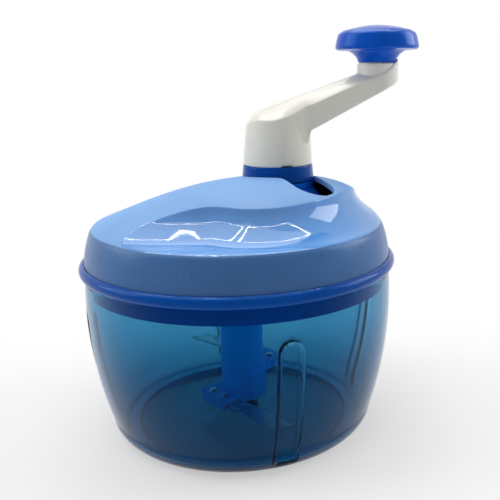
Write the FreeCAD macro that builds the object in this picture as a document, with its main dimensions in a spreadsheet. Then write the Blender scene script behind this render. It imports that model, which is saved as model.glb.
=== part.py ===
import FreeCAD, Part
import Sketcher
import math
import operator
import os
from types import SimpleNamespace

# Hand-cranked food chopper: a bowl, a turning blade unit, and a lid that holds the crank and its gears.
# The origin is the bowl's axis on the plane that it stands on. +Z is up, +X runs towards the crank.

doc = FreeCAD.newDocument("chopper")
sheet = doc.addObject("Spreadsheet::Sheet", "Sizes")

# Driving sizes in millimetres and degrees, or plain counts and ratios
DRIVING = [
    # Bowl
    ("bowl_top", 91.0, "height of the bowl's rim"),
    ("bowl_rim_r", 84.9, "outer radius at the rim"),
    ("bowl_draft", 9.9, "how far the wall draws in on its way down to the rounded corner"),
    ("corner_top", 12.0, "height where the rounded corner ends"),
    ("corner_in", 8.5, "how far the rounded corner draws in"),
    ("foot_width", 7.0, "width of the ring that the bowl stands on"),
    ("foot_rise", 1.5, "how far the underside is raised inside the ring"),
    ("corner_arc", 14.0, "radius of the rounded corner"),
    ("wall_arc", 205.0, "radius of the wall's gentle curve"),
    ("bowl_wall", 2.5, "thickness of the bowl's wall"),
    ("floor_thick", 3.0, "thickness of the bowl's floor"),
    ("boss_r", 8.0, "radius of the boss that carries the centre pin"),
    ("boss_rise", 7.2, "height of that boss above the floor"),
    ("flute_count", 4, "fluted ribs around the bowl"),
    ("flute_angle", -73.8, "direction of the first flute"),
    ("flute_width", 13.0, "width of a flute"),
    ("flute_drop", 17.5, "from the bowl's rim down to a flute's round end"),
    ("flute_foot", 6.0, "height of a flute's lower end"),
    ("flute_depth", 2.2, "depth of a flute, inwards"),
    # Centre pin
    ("pin_r", 3.0, "radius of the centre pin"),
    ("pin_rise", 22.3, "height of the centre pin above its boss"),
    ("pin_root", 1.0, "how deep the pin reaches into the floor"),
    ("pin_chamfer", 1.0, "chamfer at the pin's tip"),
    # Clearances
    ("running_gap", 0.05, "radial clearance of a shaft that turns in a bore"),
    ("small_gap", 0.3, "gap between faces that pass each other"),
    # Blade unit
    ("column_r", 12.3, "radius of the blade column"),
    ("column_wall", 2.2, "thickness of its wall"),
    ("column_rib", 1.8, "thickness of the ribs inside it"),
    ("pin_end_gap", 1.0, "space above the pin's tip"),
    ("socket_floor", 3.0, "thickness under the drive socket"),
    ("socket_play", 1.0, "space under the spindle's end"),
    ("holder_end", 1.5, "how far a blade holder reaches past its blade"),
    ("holder_thick", 4.5, "thickness of a blade holder"),
    ("holder_nip", 6.0, "length of a holder's cut corner"),
    ("lower_lift", 5.5, "from the column's lower end to the lower holder's top face"),
    ("lower_angle", 219.0, "direction of the lower holder"),
    ("holder_step", 13.5, "from the lower holder up to the upper one"),
    ("upper_angle", 46.0, "direction of the upper holder"),
    ("blade_thick", 1.2, "thickness of a blade"),
    ("blade_width", 10.6, "width of a blade"),
    ("blade_gap", 13.3, "from the blade's tip to the ribs in the bowl, along the blade"),
    ("blade_tail", 11.0, "from the holder's middle line to the blade's inner end"),
    ("blade_rake", 5.0, "how far the tip slants back"),
    ("blade_bevel", 2.6, "width of the ground cutting edge"),
    ("blade_edge", 0.2, "thickness left at the cutting edge"),
    ("blade_depth", 1.4, "from a holder's top face down to its blade"),
    ("rivet_r", 1.6, "radius of a blade rivet"),
    ("rivet_head_r", 2.7, "radius of its head"),
    ("rivet_head", 0.9, "height of its head"),
    ("rivet_tail", 0.5, "how far it stands out below the holder"),
    ("rivet_spacing", 11.0, "from one rivet of a blade to the other"),
    ("web_thick", 1.6, "thickness of the web between the holders"),
    ("web_width", 11.0, "width of that web"),
    # Lid base
    ("bead_lift", 0.2, "from the bowl's rim up to the rim bead"),
    ("bead_height", 6.7, "height of the rim bead"),
    ("bead_out", 0.1, "how far the rim bead starts outside the bowl's rim"),
    ("bead_fullness", 0.51, "radius of the bead's round side, in bead heights"),
    ("ledge_drop", 1.1, "from the bead's upper edge down to the ledge that the cover stands on"),
    ("plug_gap", 0.5, "gap between the bowl's wall and the lid's plug"),
    ("plug_wall", 2.2, "thickness of the plug"),
    ("plug_depth", 8.3, "how far the plug reaches into the bowl"),
    ("deck_drop", 3.0, "from the bowl's rim down to the deck's underside"),
    ("deck_thick", 2.4, "thickness of the deck"),
    ("seal_width", 2.0, "width of the sealing ring"),
    ("seal_rise", 1.2, "how deep the sealing ring sits in the lid base"),
    ("seal_gap", 0.05, "gap between the sealing ring and the bowl's rim"),
    ("locator_height", 2.6, "height of the rim that centres the cover"),
    # Gears
    ("gear_module", 1.4, "gear module"),
    ("ring_teeth", 45, "teeth of the ring gear"),
    ("pinion_teeth", 12, "teeth of the pinion"),
    ("pressure_angle", 25.0, "pressure angle of the teeth"),
    ("tooth_tip", 0.8, "tooth height above the pitch line, in modules"),
    ("tooth_root", 1.05, "tooth depth below the pitch line, in modules"),
    ("backlash", 0.12, "play taken off each tooth's flank"),
    ("gear_lift", 4.2, "from the deck up to the gears"),
    ("gear_height", 11.0, "height of the ring gear's teeth"),
    ("pinion_gap", 1.0, "from the pinion up to the ring gear's disc"),
    ("disc_thick", 3.0, "thickness of the ring gear's disc"),
    ("ring_wall", 3.2, "wall outside the ring gear's teeth"),
    # Drive spindle
    ("hex_flats", 9.8, "drive hexagon across its flats"),
    ("hex_gap", 0.12, "clearance between each hexagon flat and its socket"),
    ("hex_reach", 14.5, "how far the spindle reaches below the deck"),
    ("hex_top_gap", 0.4, "from the spindle's top to the ring gear's disc"),
    ("journal_land", 0.54, "how far the spindle's round bearing stands out past the hexagon's corners"),
    ("bush_wall", 1.9, "wall of the spindle's bush"),
    ("bush_stand", 0.6, "how far the bush stands out below the deck"),
    ("clip_thick", 0.8, "thickness of the retaining clip"),
    ("clip_width", 2.3, "how far the clip stands out from the spindle"),
    ("groove_depth", 0.6, "depth of the clip's groove"),
    # Gear shroud
    ("shroud_gap", 1.6, "gap between the ring gear and the shroud"),
    ("shroud_wall", 2.0, "thickness of the gear shroud"),
    ("shroud_rise", 3.4, "from the ring gear's disc up to the shroud's cone"),
    ("shroud_flange", 6.0, "width of the shroud's flange"),
    ("flange_thick", 3.2, "thickness of that flange"),
    ("flange_cap", 0.6, "what is left of the flange above its screws"),
    ("shroud_screws", 4, "screws that hold the shroud"),
    ("shroud_screw_angle", 45.0, "direction of the first of them"),
    ("neck_rise", 22.3, "from the cover's crease up to the neck's top"),
    ("neck_lip", 4.0, "height of the neck's straight end"),
    ("neck_web", 6.0, "height of the solid ring between cone and neck"),
    ("neck_gap", 0.4, "from the neck up to the collar"),
    # Ring gear's sleeve and stub, and the thrust washer
    ("sleeve_r", 17.0, "radius of the ring gear's sleeve"),
    ("sleeve_wall", 4.0, "thickness of that sleeve"),
    ("stub_web", 3.5, "thickness of the sleeve's closed top"),
    ("stub_flats", 23.0, "drive stub across its flats"),
    ("stub_reach", 14.7, "how far the drive stub reaches into the hub"),
    ("thrust_width", 6.0, "width of the thrust washer"),
    ("thrust_thick", 1.0, "thickness of the thrust washer"),
    ("thrust_gap", 0.7, "from the thrust washer up to the neck"),
    # Pouring funnel
    ("funnel_r", 10.0, "funnel radius at its mouth"),
    ("funnel_gap", 2.7, "from the funnel's mouth up to the cover"),
    ("funnel_wall", 1.4, "thickness of the funnel"),
    ("throat_rise", 7.6, "from the deck up to the funnel's throat"),
    ("spout_r", 5.6, "outer radius of the funnel's spout"),
    ("spout_drop", 4.0, "how far the spout reaches below the deck"),
    # Top cover
    ("skirt_lift", 0.1, "from the ledge up to the skirt"),
    ("skirt_out", 0.3, "how far the skirt's lower edge stands outside the bowl's rim"),
    ("skirt_height", 19.0, "height of the skirt"),
    ("skirt_draft", 4.55, "how far the skirt draws in on its way up to the crease"),
    ("cover_wall", 2.2, "thickness of the cover"),
    ("crown_rise", 25.6, "height of the crown above the crease"),
    ("crown_lean", 20.0, "how far the crown's top leans towards the crank"),
    ("crown_power", 0.4, "fullness of the crown"),
    ("crown_flat", 0.23, "radius of the crown's flat top, in crown radii"),
    ("shoulder_rise", 1.7, "rise of the low shoulder towards the leaf"),
    ("leaf_x", 12.0, "centre of the leaf's round end, along X"),
    ("leaf_y", 3.0, "centre of the leaf's round end, along Y"),
    ("leaf_r", 55.5, "radius of the leaf's round end"),
    ("leaf_sweep_r", 60.0, "radius of the hollow sweep along the leaf's front"),
    ("leaf_front_angle", -109.0, "where the round end meets that sweep"),
    ("leaf_sweep_turn", 75.0, "how far the sweep turns, past the cover's edge"),
    ("leaf_back_angle", 75.0, "where the round end runs out at the back"),
    ("leaf_rise", 17.1, "from the crease up to where the scoop starts to flare"),
    ("leaf_flare", 15.7, "how far the scoop flares out"),
    ("mouth_gap", 0.6, "gap between the collar and the cover"),
    ("pour_width", 18.0, "width of the pouring opening"),
    ("pour_x", 18.4, "centre of its round end from the crank's axis, along X"),
    ("pour_y", -29.5, "centre of its round end from the crank's axis, along Y"),
    ("pour_reach", 28.8, "length of its straight sides"),
    ("pour_slant", 66.0, "slant of its straight sides"),
    ("post_r", 4.2, "radius of a screw post"),
    ("post_in", 9.65, "how far a screw post stands in from the crease"),
    ("post_count", 3, "screw posts"),
    ("post_angle", 30.0, "direction of the first screw post"),
    ("screw_r", 1.5, "radius of the lid's screws"),
    ("screw_reach", 10.0, "how far a cover screw reaches into its post"),
    ("screw_head_r", 3.2, "radius of their heads"),
    ("screw_head", 1.6, "height of their heads"),
    # Crank collar and arm
    ("collar_low_r", 20.3, "collar radius at its lower edge"),
    ("collar_height", 8.7, "height of the collar"),
    ("hub_low_r", 19.4, "hub radius at its lower edge"),
    ("hub_top_r", 18.1, "hub radius at its top"),
    ("hub_height", 21.7, "height of the hub"),
    ("hub_cap", 2.0, "what is left of the hub above the crank's screw"),
    ("knob_out", 56.4, "from the crank's axis to the knob's"),
    ("cup_rise", 33.3, "from the hub's top up to the arm's end cup"),
    ("cup_top_r", 10.9, "cup radius at its top"),
    ("cup_low_r", 11.8, "cup radius at its foot"),
    ("arm_top_rise", 5.7, "from the hub's top edge to the start of the arm's upper edge"),
    ("arm_top_slope", 0.347, "rise of the arm's upper edge"),
    ("arm_root_half", 12.3, "half the arm's width where it leaves the hub"),
    ("arm_nose", 8.0, "length of the arm's blunt start"),
    ("arm_depth", 8.0, "depth of the arm inside the hub's top"),
    ("arm_under_slope", 0.516, "rise of the arm's underside"),
    ("arm_under_start", 18.0, "from the crank's axis to where the underside leaves the hub"),
    ("arm_under_rise", 19.1, "from the hub's lower edge up to that place"),
    ("crank_screw_r", 2.5, "radius of the crank's screw"),
    ("crank_head_r", 5.0, "radius of its head"),
    ("crank_head", 2.8, "height of its head"),
    # Knob
    ("knob_gap", 0.3, "from the cup up to the knob"),
    ("knob_neck_r", 10.4, "knob radius at its neck"),
    ("neck_flare", 1.2, "how far that neck widens"),
    ("neck_height", 3.0, "height of that neck"),
    ("knob_r", 23.2, "radius of the knob's widest rim"),
    ("knob_rim_rise", 8.0, "from the knob's lower end up to that rim"),
    ("knob_under_arc", 9.7, "radius of the hollow under the rim"),
    ("rim_round_in", 2.2, "width of the rounding under the rim"),
    ("rim_round_drop", 1.6, "height of that rounding"),
    ("rim_round_arc", 2.6, "radius of that rounding"),
    ("band_rise", 8.0, "height of the knob's side band"),
    ("band_in", 1.6, "how far the side band draws in"),
    ("band_arc", 40.0, "radius of its curve"),
    ("knob_round_arc", 8.4, "radius of the rounding above the side band"),
    ("cap_r", 16.8, "radius of the knob's cap"),
    ("cap_seat_rise", 0.8, "from the side band up to the cap's seat"),
    ("cap_edge_rise", 2.6, "from the side band up to the cap's edge"),
    ("cap_rise", 2.4, "rise of the cap's dome"),
    ("cap_ledge", 2.4, "width of the ledge that the cap sits on"),
    ("knob_floor_rise", 10.0, "from the knob's lower end up to the floor inside it"),
    ("knob_pin_r", 4.0, "radius of the knob's pin"),
    ("knob_pin_root", 11.8, "how deep the pin reaches into the cup"),
    ("pin_head_r", 6.6, "radius of the pin's head"),
    ("pin_head", 2.4, "height of the pin's head"),
    ("washer_play", 0.2, "from the floor inside the knob up to the washer"),
    ("washer_thick", 0.8, "thickness of the washers"),
    ("washer_margin", 1.2, "how far a washer stands out past its head"),
]

for row, (alias, value, note) in enumerate(DRIVING, start=1):
    sheet.set(f"A{row}", note)
    sheet.set(f"B{row}", str(value))
    sheet.setAlias(f"B{row}", alias)
doc.recompute()


class Size:
    """A number together with the sheet expression that gives it."""

    def __init__(self, value, text):
        self.value = value
        self.text = text

    def __add__(self, other):
        return combined(self, "+", other)

    def __radd__(self, other):
        return combined(other, "+", self)

    def __sub__(self, other):
        return combined(self, "-", other)

    def __rsub__(self, other):
        return combined(other, "-", self)

    def __mul__(self, other):
        return combined(self, "*", other)

    def __rmul__(self, other):
        return combined(other, "*", self)

    def __truediv__(self, other):
        return combined(self, "/", other)

    def __neg__(self):
        return combined(0, "-", self)


OPERATIONS = {"+": operator.add, "-": operator.sub, "*": operator.mul, "/": operator.truediv}


def plain(size):
    return size.value if isinstance(size, Size) else size


def written(size):
    return size.text if isinstance(size, Size) else repr(size)


def combined(left, sign, right):
    value = OPERATIONS[sign](plain(left), plain(right))
    return Size(value, f"({written(left)} {sign} {written(right)})")


s = SimpleNamespace()
for alias, value, note in DRIVING:
    setattr(s, alias, Size(float(sheet.get(alias)), f"Sizes.{alias}"))

# Bowl and blade unit, worked out
bowl_low_r = s.bowl_rim_r - s.bowl_draft
foot_r = bowl_low_r - s.corner_in
floor_top = s.foot_rise + s.floor_thick
boss_top = floor_top + s.boss_rise
pin_top = boss_top + s.pin_rise
flute_middle = s.bowl_top - s.flute_drop - s.flute_width / 2
column_low = boss_top + s.small_gap
lower_top = column_low + s.lower_lift
upper_top = lower_top + s.holder_step
blade_in = s.column_r
blade_out = blade_in + s.blade_width
blade_reach = bowl_low_r - s.bowl_wall - s.flute_depth - s.blade_gap

# Lid base and cover, worked out
bead_low = s.bowl_top + s.bead_lift
bead_high = bead_low + s.bead_height
bead_r = s.bowl_rim_r + s.bead_out
ledge = bead_high - s.ledge_drop
plug_r = s.bowl_rim_r - s.bowl_wall - s.plug_gap
plug_low = s.bowl_top - s.plug_depth
deck_low = s.bowl_top - s.deck_drop
deck_top = deck_low + s.deck_thick
skirt_low = ledge + s.skirt_lift
skirt_low_r = s.bowl_rim_r + s.skirt_out
skirt_slope = s.skirt_draft / s.skirt_height
crease_z = skirt_low + s.skirt_height
crease_r = skirt_low_r - s.skirt_draft
leaf_edge_z = crease_z + s.leaf_rise
locator_high = skirt_low + s.locator_height
locator_out_r = skirt_low_r - skirt_slope * s.locator_height - s.cover_wall - s.small_gap
locator_in_r = locator_out_r - s.plug_wall
post_out = crease_r - s.post_in

# Gears, spindle and shroud, worked out
crank_x = (s.ring_teeth - s.pinion_teeth) * s.gear_module / 2
ring_pitch_r = s.ring_teeth * s.gear_module / 2
ring_root_r = ring_pitch_r + s.gear_module * s.tooth_root
ring_outer_r = ring_root_r + s.ring_wall
gear_low = deck_top + s.gear_lift
gear_high = gear_low + s.gear_height
disc_top = gear_high + s.disc_thick
hex_low = deck_low - s.hex_reach
socket_low = hex_low - s.socket_play
journal_r = s.hex_flats / math.sqrt(3) + s.journal_land
bush_r = journal_r + s.running_gap + s.bush_wall
bush_low = deck_low - s.bush_stand
clip_top = bush_low - s.small_gap
journal_low = clip_top - s.clip_thick * 2
column_top = journal_low - s.small_gap
shroud_in_r = ring_outer_r + s.shroud_gap
shroud_out_r = shroud_in_r + s.shroud_wall
flange_r = shroud_out_r + s.shroud_flange
flange_top = deck_top + s.flange_thick
flange_screw_top = flange_top - s.flange_cap
neck_top = crease_z + s.neck_rise
neck_low = disc_top + s.thrust_thick + s.thrust_gap
neck_bore_r = s.sleeve_r + s.running_gap

# Funnel, worked out: it stands beside the shroud's flange, in line with the pouring opening
funnel_foot_r = s.spout_r + s.funnel_wall
funnel_out = flange_r + s.small_gap * 2 + funnel_foot_r
funnel_turn = math.atan2(s.pour_y.value, s.pour_x.value)
funnel_x = crank_x + funnel_out * math.cos(funnel_turn)
funnel_y = funnel_out * math.sin(funnel_turn)
funnel_mouth = crease_z - s.cover_wall - s.funnel_gap
throat_z = deck_top + s.throat_rise

# Crank and knob, worked out
collar_low = neck_top + s.neck_gap
hub_low = collar_low + s.collar_height
hub_top = hub_low + s.hub_height
stub_top = hub_low + s.stub_reach
sleeve_roof = collar_low - s.stub_web
cup_top = hub_top + s.cup_rise
knob_x = crank_x + s.knob_out
knob_low = cup_top + s.knob_gap
knob_rim_z = knob_low + s.knob_rim_rise
band_top = knob_rim_z + s.band_rise
cap_seat = band_top + s.cap_seat_rise
cap_edge = band_top + s.cap_edge_rise
knob_floor = knob_low + s.knob_floor_rise
knob_pin_low = cup_top - s.knob_pin_root

# How far a cutting or joining shape runs past the face that it meets
PAST = 1.0

nodes = {}


def bind(thing, prop, size):
    """Ties a property to the sheet, or sets it where the value is plain."""
    if isinstance(size, Size):
        thing.setExpression(prop, size.text)
    else:
        thing.setExpression(prop, repr(size))


def place(thing, x=0, y=0, z=0, turn=0.0):
    thing.Placement.Rotation = FreeCAD.Rotation(FreeCAD.Vector(0, 0, 1), turn)
    for axis, size in (("x", x), ("y", y), ("z", z)):
        if plain(size):
            bind(thing, f"Placement.Base.{axis}", size)
    return thing


def cylinder(name, radius, low, high, x=0, y=0):
    thing = doc.addObject("Part::Cylinder", name)
    bind(thing, "Radius", radius)
    bind(thing, "Height", high - low)
    return place(thing, x, y, low)


def cone(name, low_radius, high_radius, low, high, x=0, y=0):
    thing = doc.addObject("Part::Cone", name)
    bind(thing, "Radius1", low_radius)
    bind(thing, "Radius2", high_radius)
    bind(thing, "Height", high - low)
    return place(thing, x, y, low)


def hexagon(name, flats, low, high, x=0):
    thing = doc.addObject("Part::Prism", name)
    thing.Polygon = 6
    bind(thing, "Circumradius", flats / math.sqrt(3))
    bind(thing, "Height", high - low)
    return place(thing, x, 0, low)


def box(name, length, width, low, high, x=0, y=0, turn=0.0):
    """An upright block with its middle at x, y."""
    thing = doc.addObject("Part::Box", name)
    bind(thing, "Length", length)
    bind(thing, "Width", width)
    bind(thing, "Height", high - low)
    along = math.cos(math.radians(turn))
    across = math.sin(math.radians(turn))
    corner_x = x - length / 2 * along + width / 2 * across
    corner_y = y - length / 2 * across - width / 2 * along
    return place(thing, corner_x, corner_y, low, turn)


def cut(name, base, *tools):
    thing = doc.addObject("Part::Cut", name)
    thing.Base = base
    thing.Tool = tools[0] if len(tools) == 1 else grouped(name + "_tools", *tools)
    return thing


def common(name, first, second):
    """What two shapes share. Its faces aren't merged, because merged lofts fail in the next cut."""
    thing = doc.addObject("Part::Common", name)
    thing.Base = first
    thing.Tool = second
    thing.Refine = False
    return thing


def fused(name, *things):
    thing = doc.addObject("Part::MultiFuse", name)
    thing.Shapes = list(things)
    return thing


def grouped(name, *things):
    thing = doc.addObject("Part::Compound", name)
    thing.Links = list(things)
    return thing


def node(label, thing):
    thing.Label = label
    nodes[label] = thing
    return thing


def arc_between(start, end, radius):
    """The circle arc from start to end; a positive radius bends to the right of the way along."""
    middle = (start + end) * 0.5
    along = end - start
    half = along.Length / 2
    rise = math.sqrt(max(radius * radius - half * half, 0.0))
    right = FreeCAD.Vector(along.y, -along.x, 0).normalize()
    side = 1.0 if radius > 0 else -1.0
    centre = middle - right * (side * rise)
    angles = [math.atan2(point.y - centre.y, point.x - centre.x) for point in (start, end)]
    circle = Part.Circle(centre, FreeCAD.Vector(0, 0, 1), abs(radius))
    # An arc runs anticlockwise, which is how a bend to the right lies.
    if radius > 0:
        return Part.ArcOfCircle(circle, angles[0], angles[1]), (1, 2)
    return Part.ArcOfCircle(circle, angles[1], angles[0]), (2, 1)


def pin_point(sketch, geometry, end, axis, size):
    """Fixes one coordinate of a sketch point to the sheet."""
    kind = "DistanceX" if axis == 0 else "DistanceY"
    value = plain(size)
    if value == 0:
        sketch.addConstraint(Sketcher.Constraint("PointOnObject", geometry, end, -2 if axis == 0 else -1))
        return
    if value > 0:
        index = sketch.addConstraint(Sketcher.Constraint(kind, -1, 1, geometry, end, value))
        text = written(size)
    else:
        index = sketch.addConstraint(Sketcher.Constraint(kind, geometry, end, -1, 1, -value))
        text = written(0 - size)
    sketch.setExpression(f"Constraints[{index}]", text)


def draw(sketch, outline):
    """Draws a closed outline of corners (across, up), or (across, up, radius) where an arc ends there."""
    points = [FreeCAD.Vector(plain(corner[0]), plain(corner[1]), 0) for corner in outline]
    ends = []
    for index, corner in enumerate(outline):
        start = points[index - 1]
        end = points[index]
        if len(corner) == 2:
            ends.append((sketch.addGeometry(Part.LineSegment(start, end), False), 1, 2))
        else:
            curve, order = arc_between(start, end, plain(corner[2]))
            ends.append((sketch.addGeometry(curve, False), order[0], order[1]))
    for index, corner in enumerate(outline):
        geometry, first, last = ends[index]
        follower, follower_first, _ = ends[(index + 1) % len(ends)]
        sketch.addConstraint(Sketcher.Constraint("Coincident", geometry, last, follower, follower_first))
        pin_point(sketch, geometry, last, 0, corner[0])
        pin_point(sketch, geometry, last, 1, corner[1])
        if len(corner) == 3:
            radius = corner[2]
            size = radius if plain(radius) > 0 else 0 - radius
            constraint = sketch.addConstraint(Sketcher.Constraint("Radius", geometry, plain(size)))
            sketch.setExpression(f"Constraints[{constraint}]", written(size))


def sketched(name, plane_role, outline):
    body = doc.addObject("PartDesign::Body", name)
    sketch = body.newObject("Sketcher::SketchObject", name + "_outline")
    plane = [item for item in body.Origin.OriginFeatures if item.Role == plane_role][0]
    sketch.AttachmentSupport = [(plane, "")]
    sketch.MapMode = "FlatFace"
    draw(sketch, outline)
    return body, sketch


def turned(name, outline, x=0, y=0):
    """A body turned about the vertical axis at x, y from an outline of radius and height."""
    body, sketch = sketched(name, "XZ_Plane", outline)
    turn = body.newObject("PartDesign::Revolution", name + "_turn")
    turn.Profile = (sketch, [""])
    turn.ReferenceAxis = (sketch, ["V_Axis"])
    turn.Angle = 360
    return place(body, x, y)


def padded(name, outline, thickness, z=0, x=0, y=0, turn=0.0):
    """A plate with the outline given in plan."""
    body, sketch = sketched(name, "XY_Plane", outline)
    pad = body.newObject("PartDesign::Pad", name + "_pad")
    pad.Profile = (sketch, [""])
    bind(pad, "Length", thickness)
    return place(body, x, y, z, turn)


def slab(name, outline, width, x=0):
    """A plate with the outline given in side view, as wide to each side of the middle."""
    body, sketch = sketched(name, "XZ_Plane", outline)
    pad = body.newObject("PartDesign::Pad", name + "_pad")
    pad.Profile = (sketch, [""])
    pad.Midplane = True
    bind(pad, "Length", width)
    return place(body, x)

# Bowl


def bowl_section(inset, low, top, out_to=None):
    """Outline between the bowl's curved wall, moved in by inset, and the axis or a plain outer radius."""
    side = [
        (foot_r - inset, low),
        (bowl_low_r - inset, s.corner_top, s.corner_arc),
        (s.bowl_rim_r - inset, top, s.wall_arc),
    ]
    if out_to is None:
        return side + [(0, top), (0, low)]
    return side + [(out_to, top), (out_to, low)]


def slots(name, width, foot):
    """Upright slots with round tops, one for each flute, from inside the wall to outside it."""
    near = bowl_low_r / 2
    far = s.bowl_rim_r + s.flute_width
    count = int(s.flute_count.value)
    things = []
    for index in range(count):
        block = box(f"{name}_block_{index}", far - near, width, foot, flute_middle, (near + far) / 2)
        end = doc.addObject("Part::Cylinder", f"{name}_end_{index}")
        bind(end, "Radius", width / 2)
        bind(end, "Height", far - near)
        end.Placement.Rotation = FreeCAD.Rotation(FreeCAD.Vector(0, 1, 0), 90)
        bind(end, "Placement.Base.x", near)
        bind(end, "Placement.Base.z", flute_middle)
        turn = s.flute_angle.value + index * 360.0 / count
        things.append(place(fused(f"{name}_{index}", block, end), turn=turn))
    return grouped(name, *things)


ring_in_r = foot_r - s.foot_width
underside = turned("bowl_underside", [(0, 0), (ring_in_r, 0), (ring_in_r, s.foot_rise), (0, s.foot_rise)])
bowl_outside = turned("bowl_outside", bowl_section(0, 0, s.bowl_top))
bowl_inside = turned("bowl_inside", bowl_section(s.bowl_wall, floor_top, s.bowl_top))
bowl_shell = cut("bowl_shell", bowl_outside, underside, bowl_inside)
rib_outside = turned("rib_outside", bowl_section(s.bowl_wall / 2, floor_top, s.bowl_top))
rib_inside = turned("rib_inside", bowl_section(s.bowl_wall + s.flute_depth, floor_top, s.bowl_top))
rib_slots = slots("rib_slots", s.flute_width + s.bowl_wall * 2, floor_top)
ribs = common("bowl_ribs", cut("rib_space", rib_outside, rib_inside), rib_slots)
flute_space = turned(
    "flute_space",
    bowl_section(s.flute_depth, s.foot_rise, s.bowl_top, out_to=s.bowl_rim_r + s.flute_width),
)
flutes = common("bowl_flutes", flute_space, slots("flute_slots", s.flute_width, s.flute_foot))
centre_boss = cone("centre_boss", s.boss_r + s.bowl_wall, s.boss_r, s.foot_rise + PAST, boss_top)
pin_low = floor_top - s.pin_root
pin_seat = cylinder("pin_seat", s.pin_r, pin_low, boss_top + PAST)
node("bowl", cut("bowl_cut", fused("bowl_body", bowl_shell, ribs, centre_boss), flutes, pin_seat))
node(
    "centre_pin",
    turned(
        "centre_pin_turned",
        [
            (0, pin_low),
            (s.pin_r, pin_low),
            (s.pin_r, pin_top - s.pin_chamfer),
            (s.pin_r - s.pin_chamfer, pin_top),
            (0, pin_top),
        ],
    ),
)

# Blade unit


def holder(name, top, angle):
    """A plate from the column's axis to just past the blade, with one corner cut."""
    end = blade_out + s.holder_end
    corners = [
        (0, 0 - s.column_r),
        (end - s.holder_nip / 2, 0 - s.column_r),
        (end, s.holder_nip - s.column_r),
        (end, s.column_r),
        (0, s.column_r),
    ]
    return padded(name, corners, s.holder_thick, z=top - s.holder_thick, turn=angle.value)


def blade_blank(name, play, top, angle):
    """The blade's outline as a plate, larger by the play given."""
    corners = [
        (blade_in - play, 0 - s.blade_tail - play),
        (blade_out + play, 0 - s.blade_tail - play),
        (blade_out + play, blade_reach - s.blade_rake),
        (blade_in - play, blade_reach),
    ]
    low = top - s.blade_depth - s.blade_thick - play
    return padded(name, corners, s.blade_thick + play * 2, z=low, turn=angle.value)


def bevel_wedge(name, top, angle):
    """What grinding takes off the underside of the blade's outer edge."""
    corners = [
        (blade_out + PAST, 0 - s.blade_thick - PAST),
        (blade_out + PAST, 0 - s.blade_edge),
        (blade_out, 0 - s.blade_edge),
        (blade_out - s.blade_bevel, 0 - s.blade_thick),
        (blade_out - s.blade_bevel, 0 - s.blade_thick - PAST),
    ]
    wedge = slab(name, corners, (blade_reach + s.blade_tail) * 2)
    return place(wedge, 0, 0, top - s.blade_depth, angle.value)


def rivet_places(angle):
    """Where the two rivets of a blade stand."""
    turn = math.radians(angle.value)
    middle = blade_in + s.blade_width / 2
    for side in (-1, 1):
        along = s.rivet_spacing * (side / 2)
        x = middle * math.cos(turn) - along * math.sin(turn)
        y = middle * math.sin(turn) + along * math.cos(turn)
        yield x, y


hollow_top = socket_low - s.socket_floor
bore_top = pin_top + s.pin_end_gap
barrel = cylinder("column_barrel", s.column_r, column_low, column_top)
column_hollow = cylinder("column_hollow", s.column_r - s.column_wall, column_low - PAST, hollow_top)
column_shell = cut("column_shell", barrel, column_hollow)
pin_tube = cylinder("pin_tube", s.pin_r + s.column_wall, column_low, bore_top + s.column_wall)
rib_long = s.column_r * 2 - s.column_wall
column_ribs = [
    box(f"column_rib_{index}", rib_long, s.column_rib, column_low, hollow_top + PAST, turn=turn)
    for index, turn in enumerate((0.0, 90.0))
]
column_bore = cylinder("column_bore", s.pin_r + s.running_gap, column_low - PAST, bore_top)
column_socket = hexagon("column_socket", s.hex_flats + s.hex_gap * 2, socket_low, column_top + PAST)
web_in = s.column_r - s.column_wall / 2
web_out = s.column_r + s.web_thick
web = padded(
    "holder_web",
    [
        (web_in, 0 - s.web_width / 2),
        (web_out, 0 - s.web_width / 2),
        (web_out, s.web_width / 2),
        (web_in, s.web_width / 2),
    ],
    s.holder_step,
    z=lower_top - s.holder_thick,
    turn=(s.lower_angle.value - 360 + s.upper_angle.value) / 2,
)
holders = []
slot_cuts = []
rivets = []
rivet_holes = []
for name, top, angle in (("lower", lower_top, s.lower_angle), ("upper", upper_top, s.upper_angle)):
    low = top - s.holder_thick - s.rivet_tail
    holes = []
    for index, (x, y) in enumerate(rivet_places(angle)):
        shank = cylinder(f"{name}_rivet_shank_{index}", s.rivet_r, low, top + s.rivet_head / 2, x, y)
        head = cone(f"{name}_rivet_head_{index}", s.rivet_head_r, s.rivet_r, top, top + s.rivet_head, x, y)
        rivets.append(fused(f"{name}_rivet_{index}", shank, head))
        holes.append(cylinder(f"{name}_hole_{index}", s.rivet_r, low - PAST, top + PAST, x, y))
        rivet_holes.append(cylinder(f"{name}_holder_hole_{index}", s.rivet_r, low - PAST, top + PAST, x, y))
    blank = blade_blank(f"{name}_blank", 0, top, angle)
    ground = cut(f"{name}_ground", blank, bevel_wedge(f"{name}_bevel", top, angle))
    node(f"{name}_blade", cut(f"{name}_blade_cut", ground, *holes))
    holders.append(holder(f"{name}_holder", top, angle))
    slot_cuts.append(blade_blank(f"{name}_slot", s.running_gap, top, angle))
column_body = fused("column_body", column_shell, pin_tube, web, *column_ribs, *holders)
column_cuts = [column_bore, column_socket, *slot_cuts, *rivet_holes]
node("blade_column", cut("blade_column_cut", column_body, *column_cuts))
node("blade_rivets", grouped("blade_rivets_all", *rivets))

# Lid base, its sealing ring and the screws that hold the cover and the shroud


def around(count, first_angle, radius, x=0):
    """Places evenly spaced on a circle about the vertical axis at x."""
    for index in range(int(count.value)):
        turn = math.radians(first_angle.value + index * 360.0 / count.value)
        yield index, x + radius * math.cos(turn), radius * math.sin(turn)


def ring(name, in_r, out_r, low, high, x=0):
    """A plain ring with a square section."""
    return turned(name, [(in_r, low), (out_r, low), (out_r, high), (in_r, high)], x)


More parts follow.
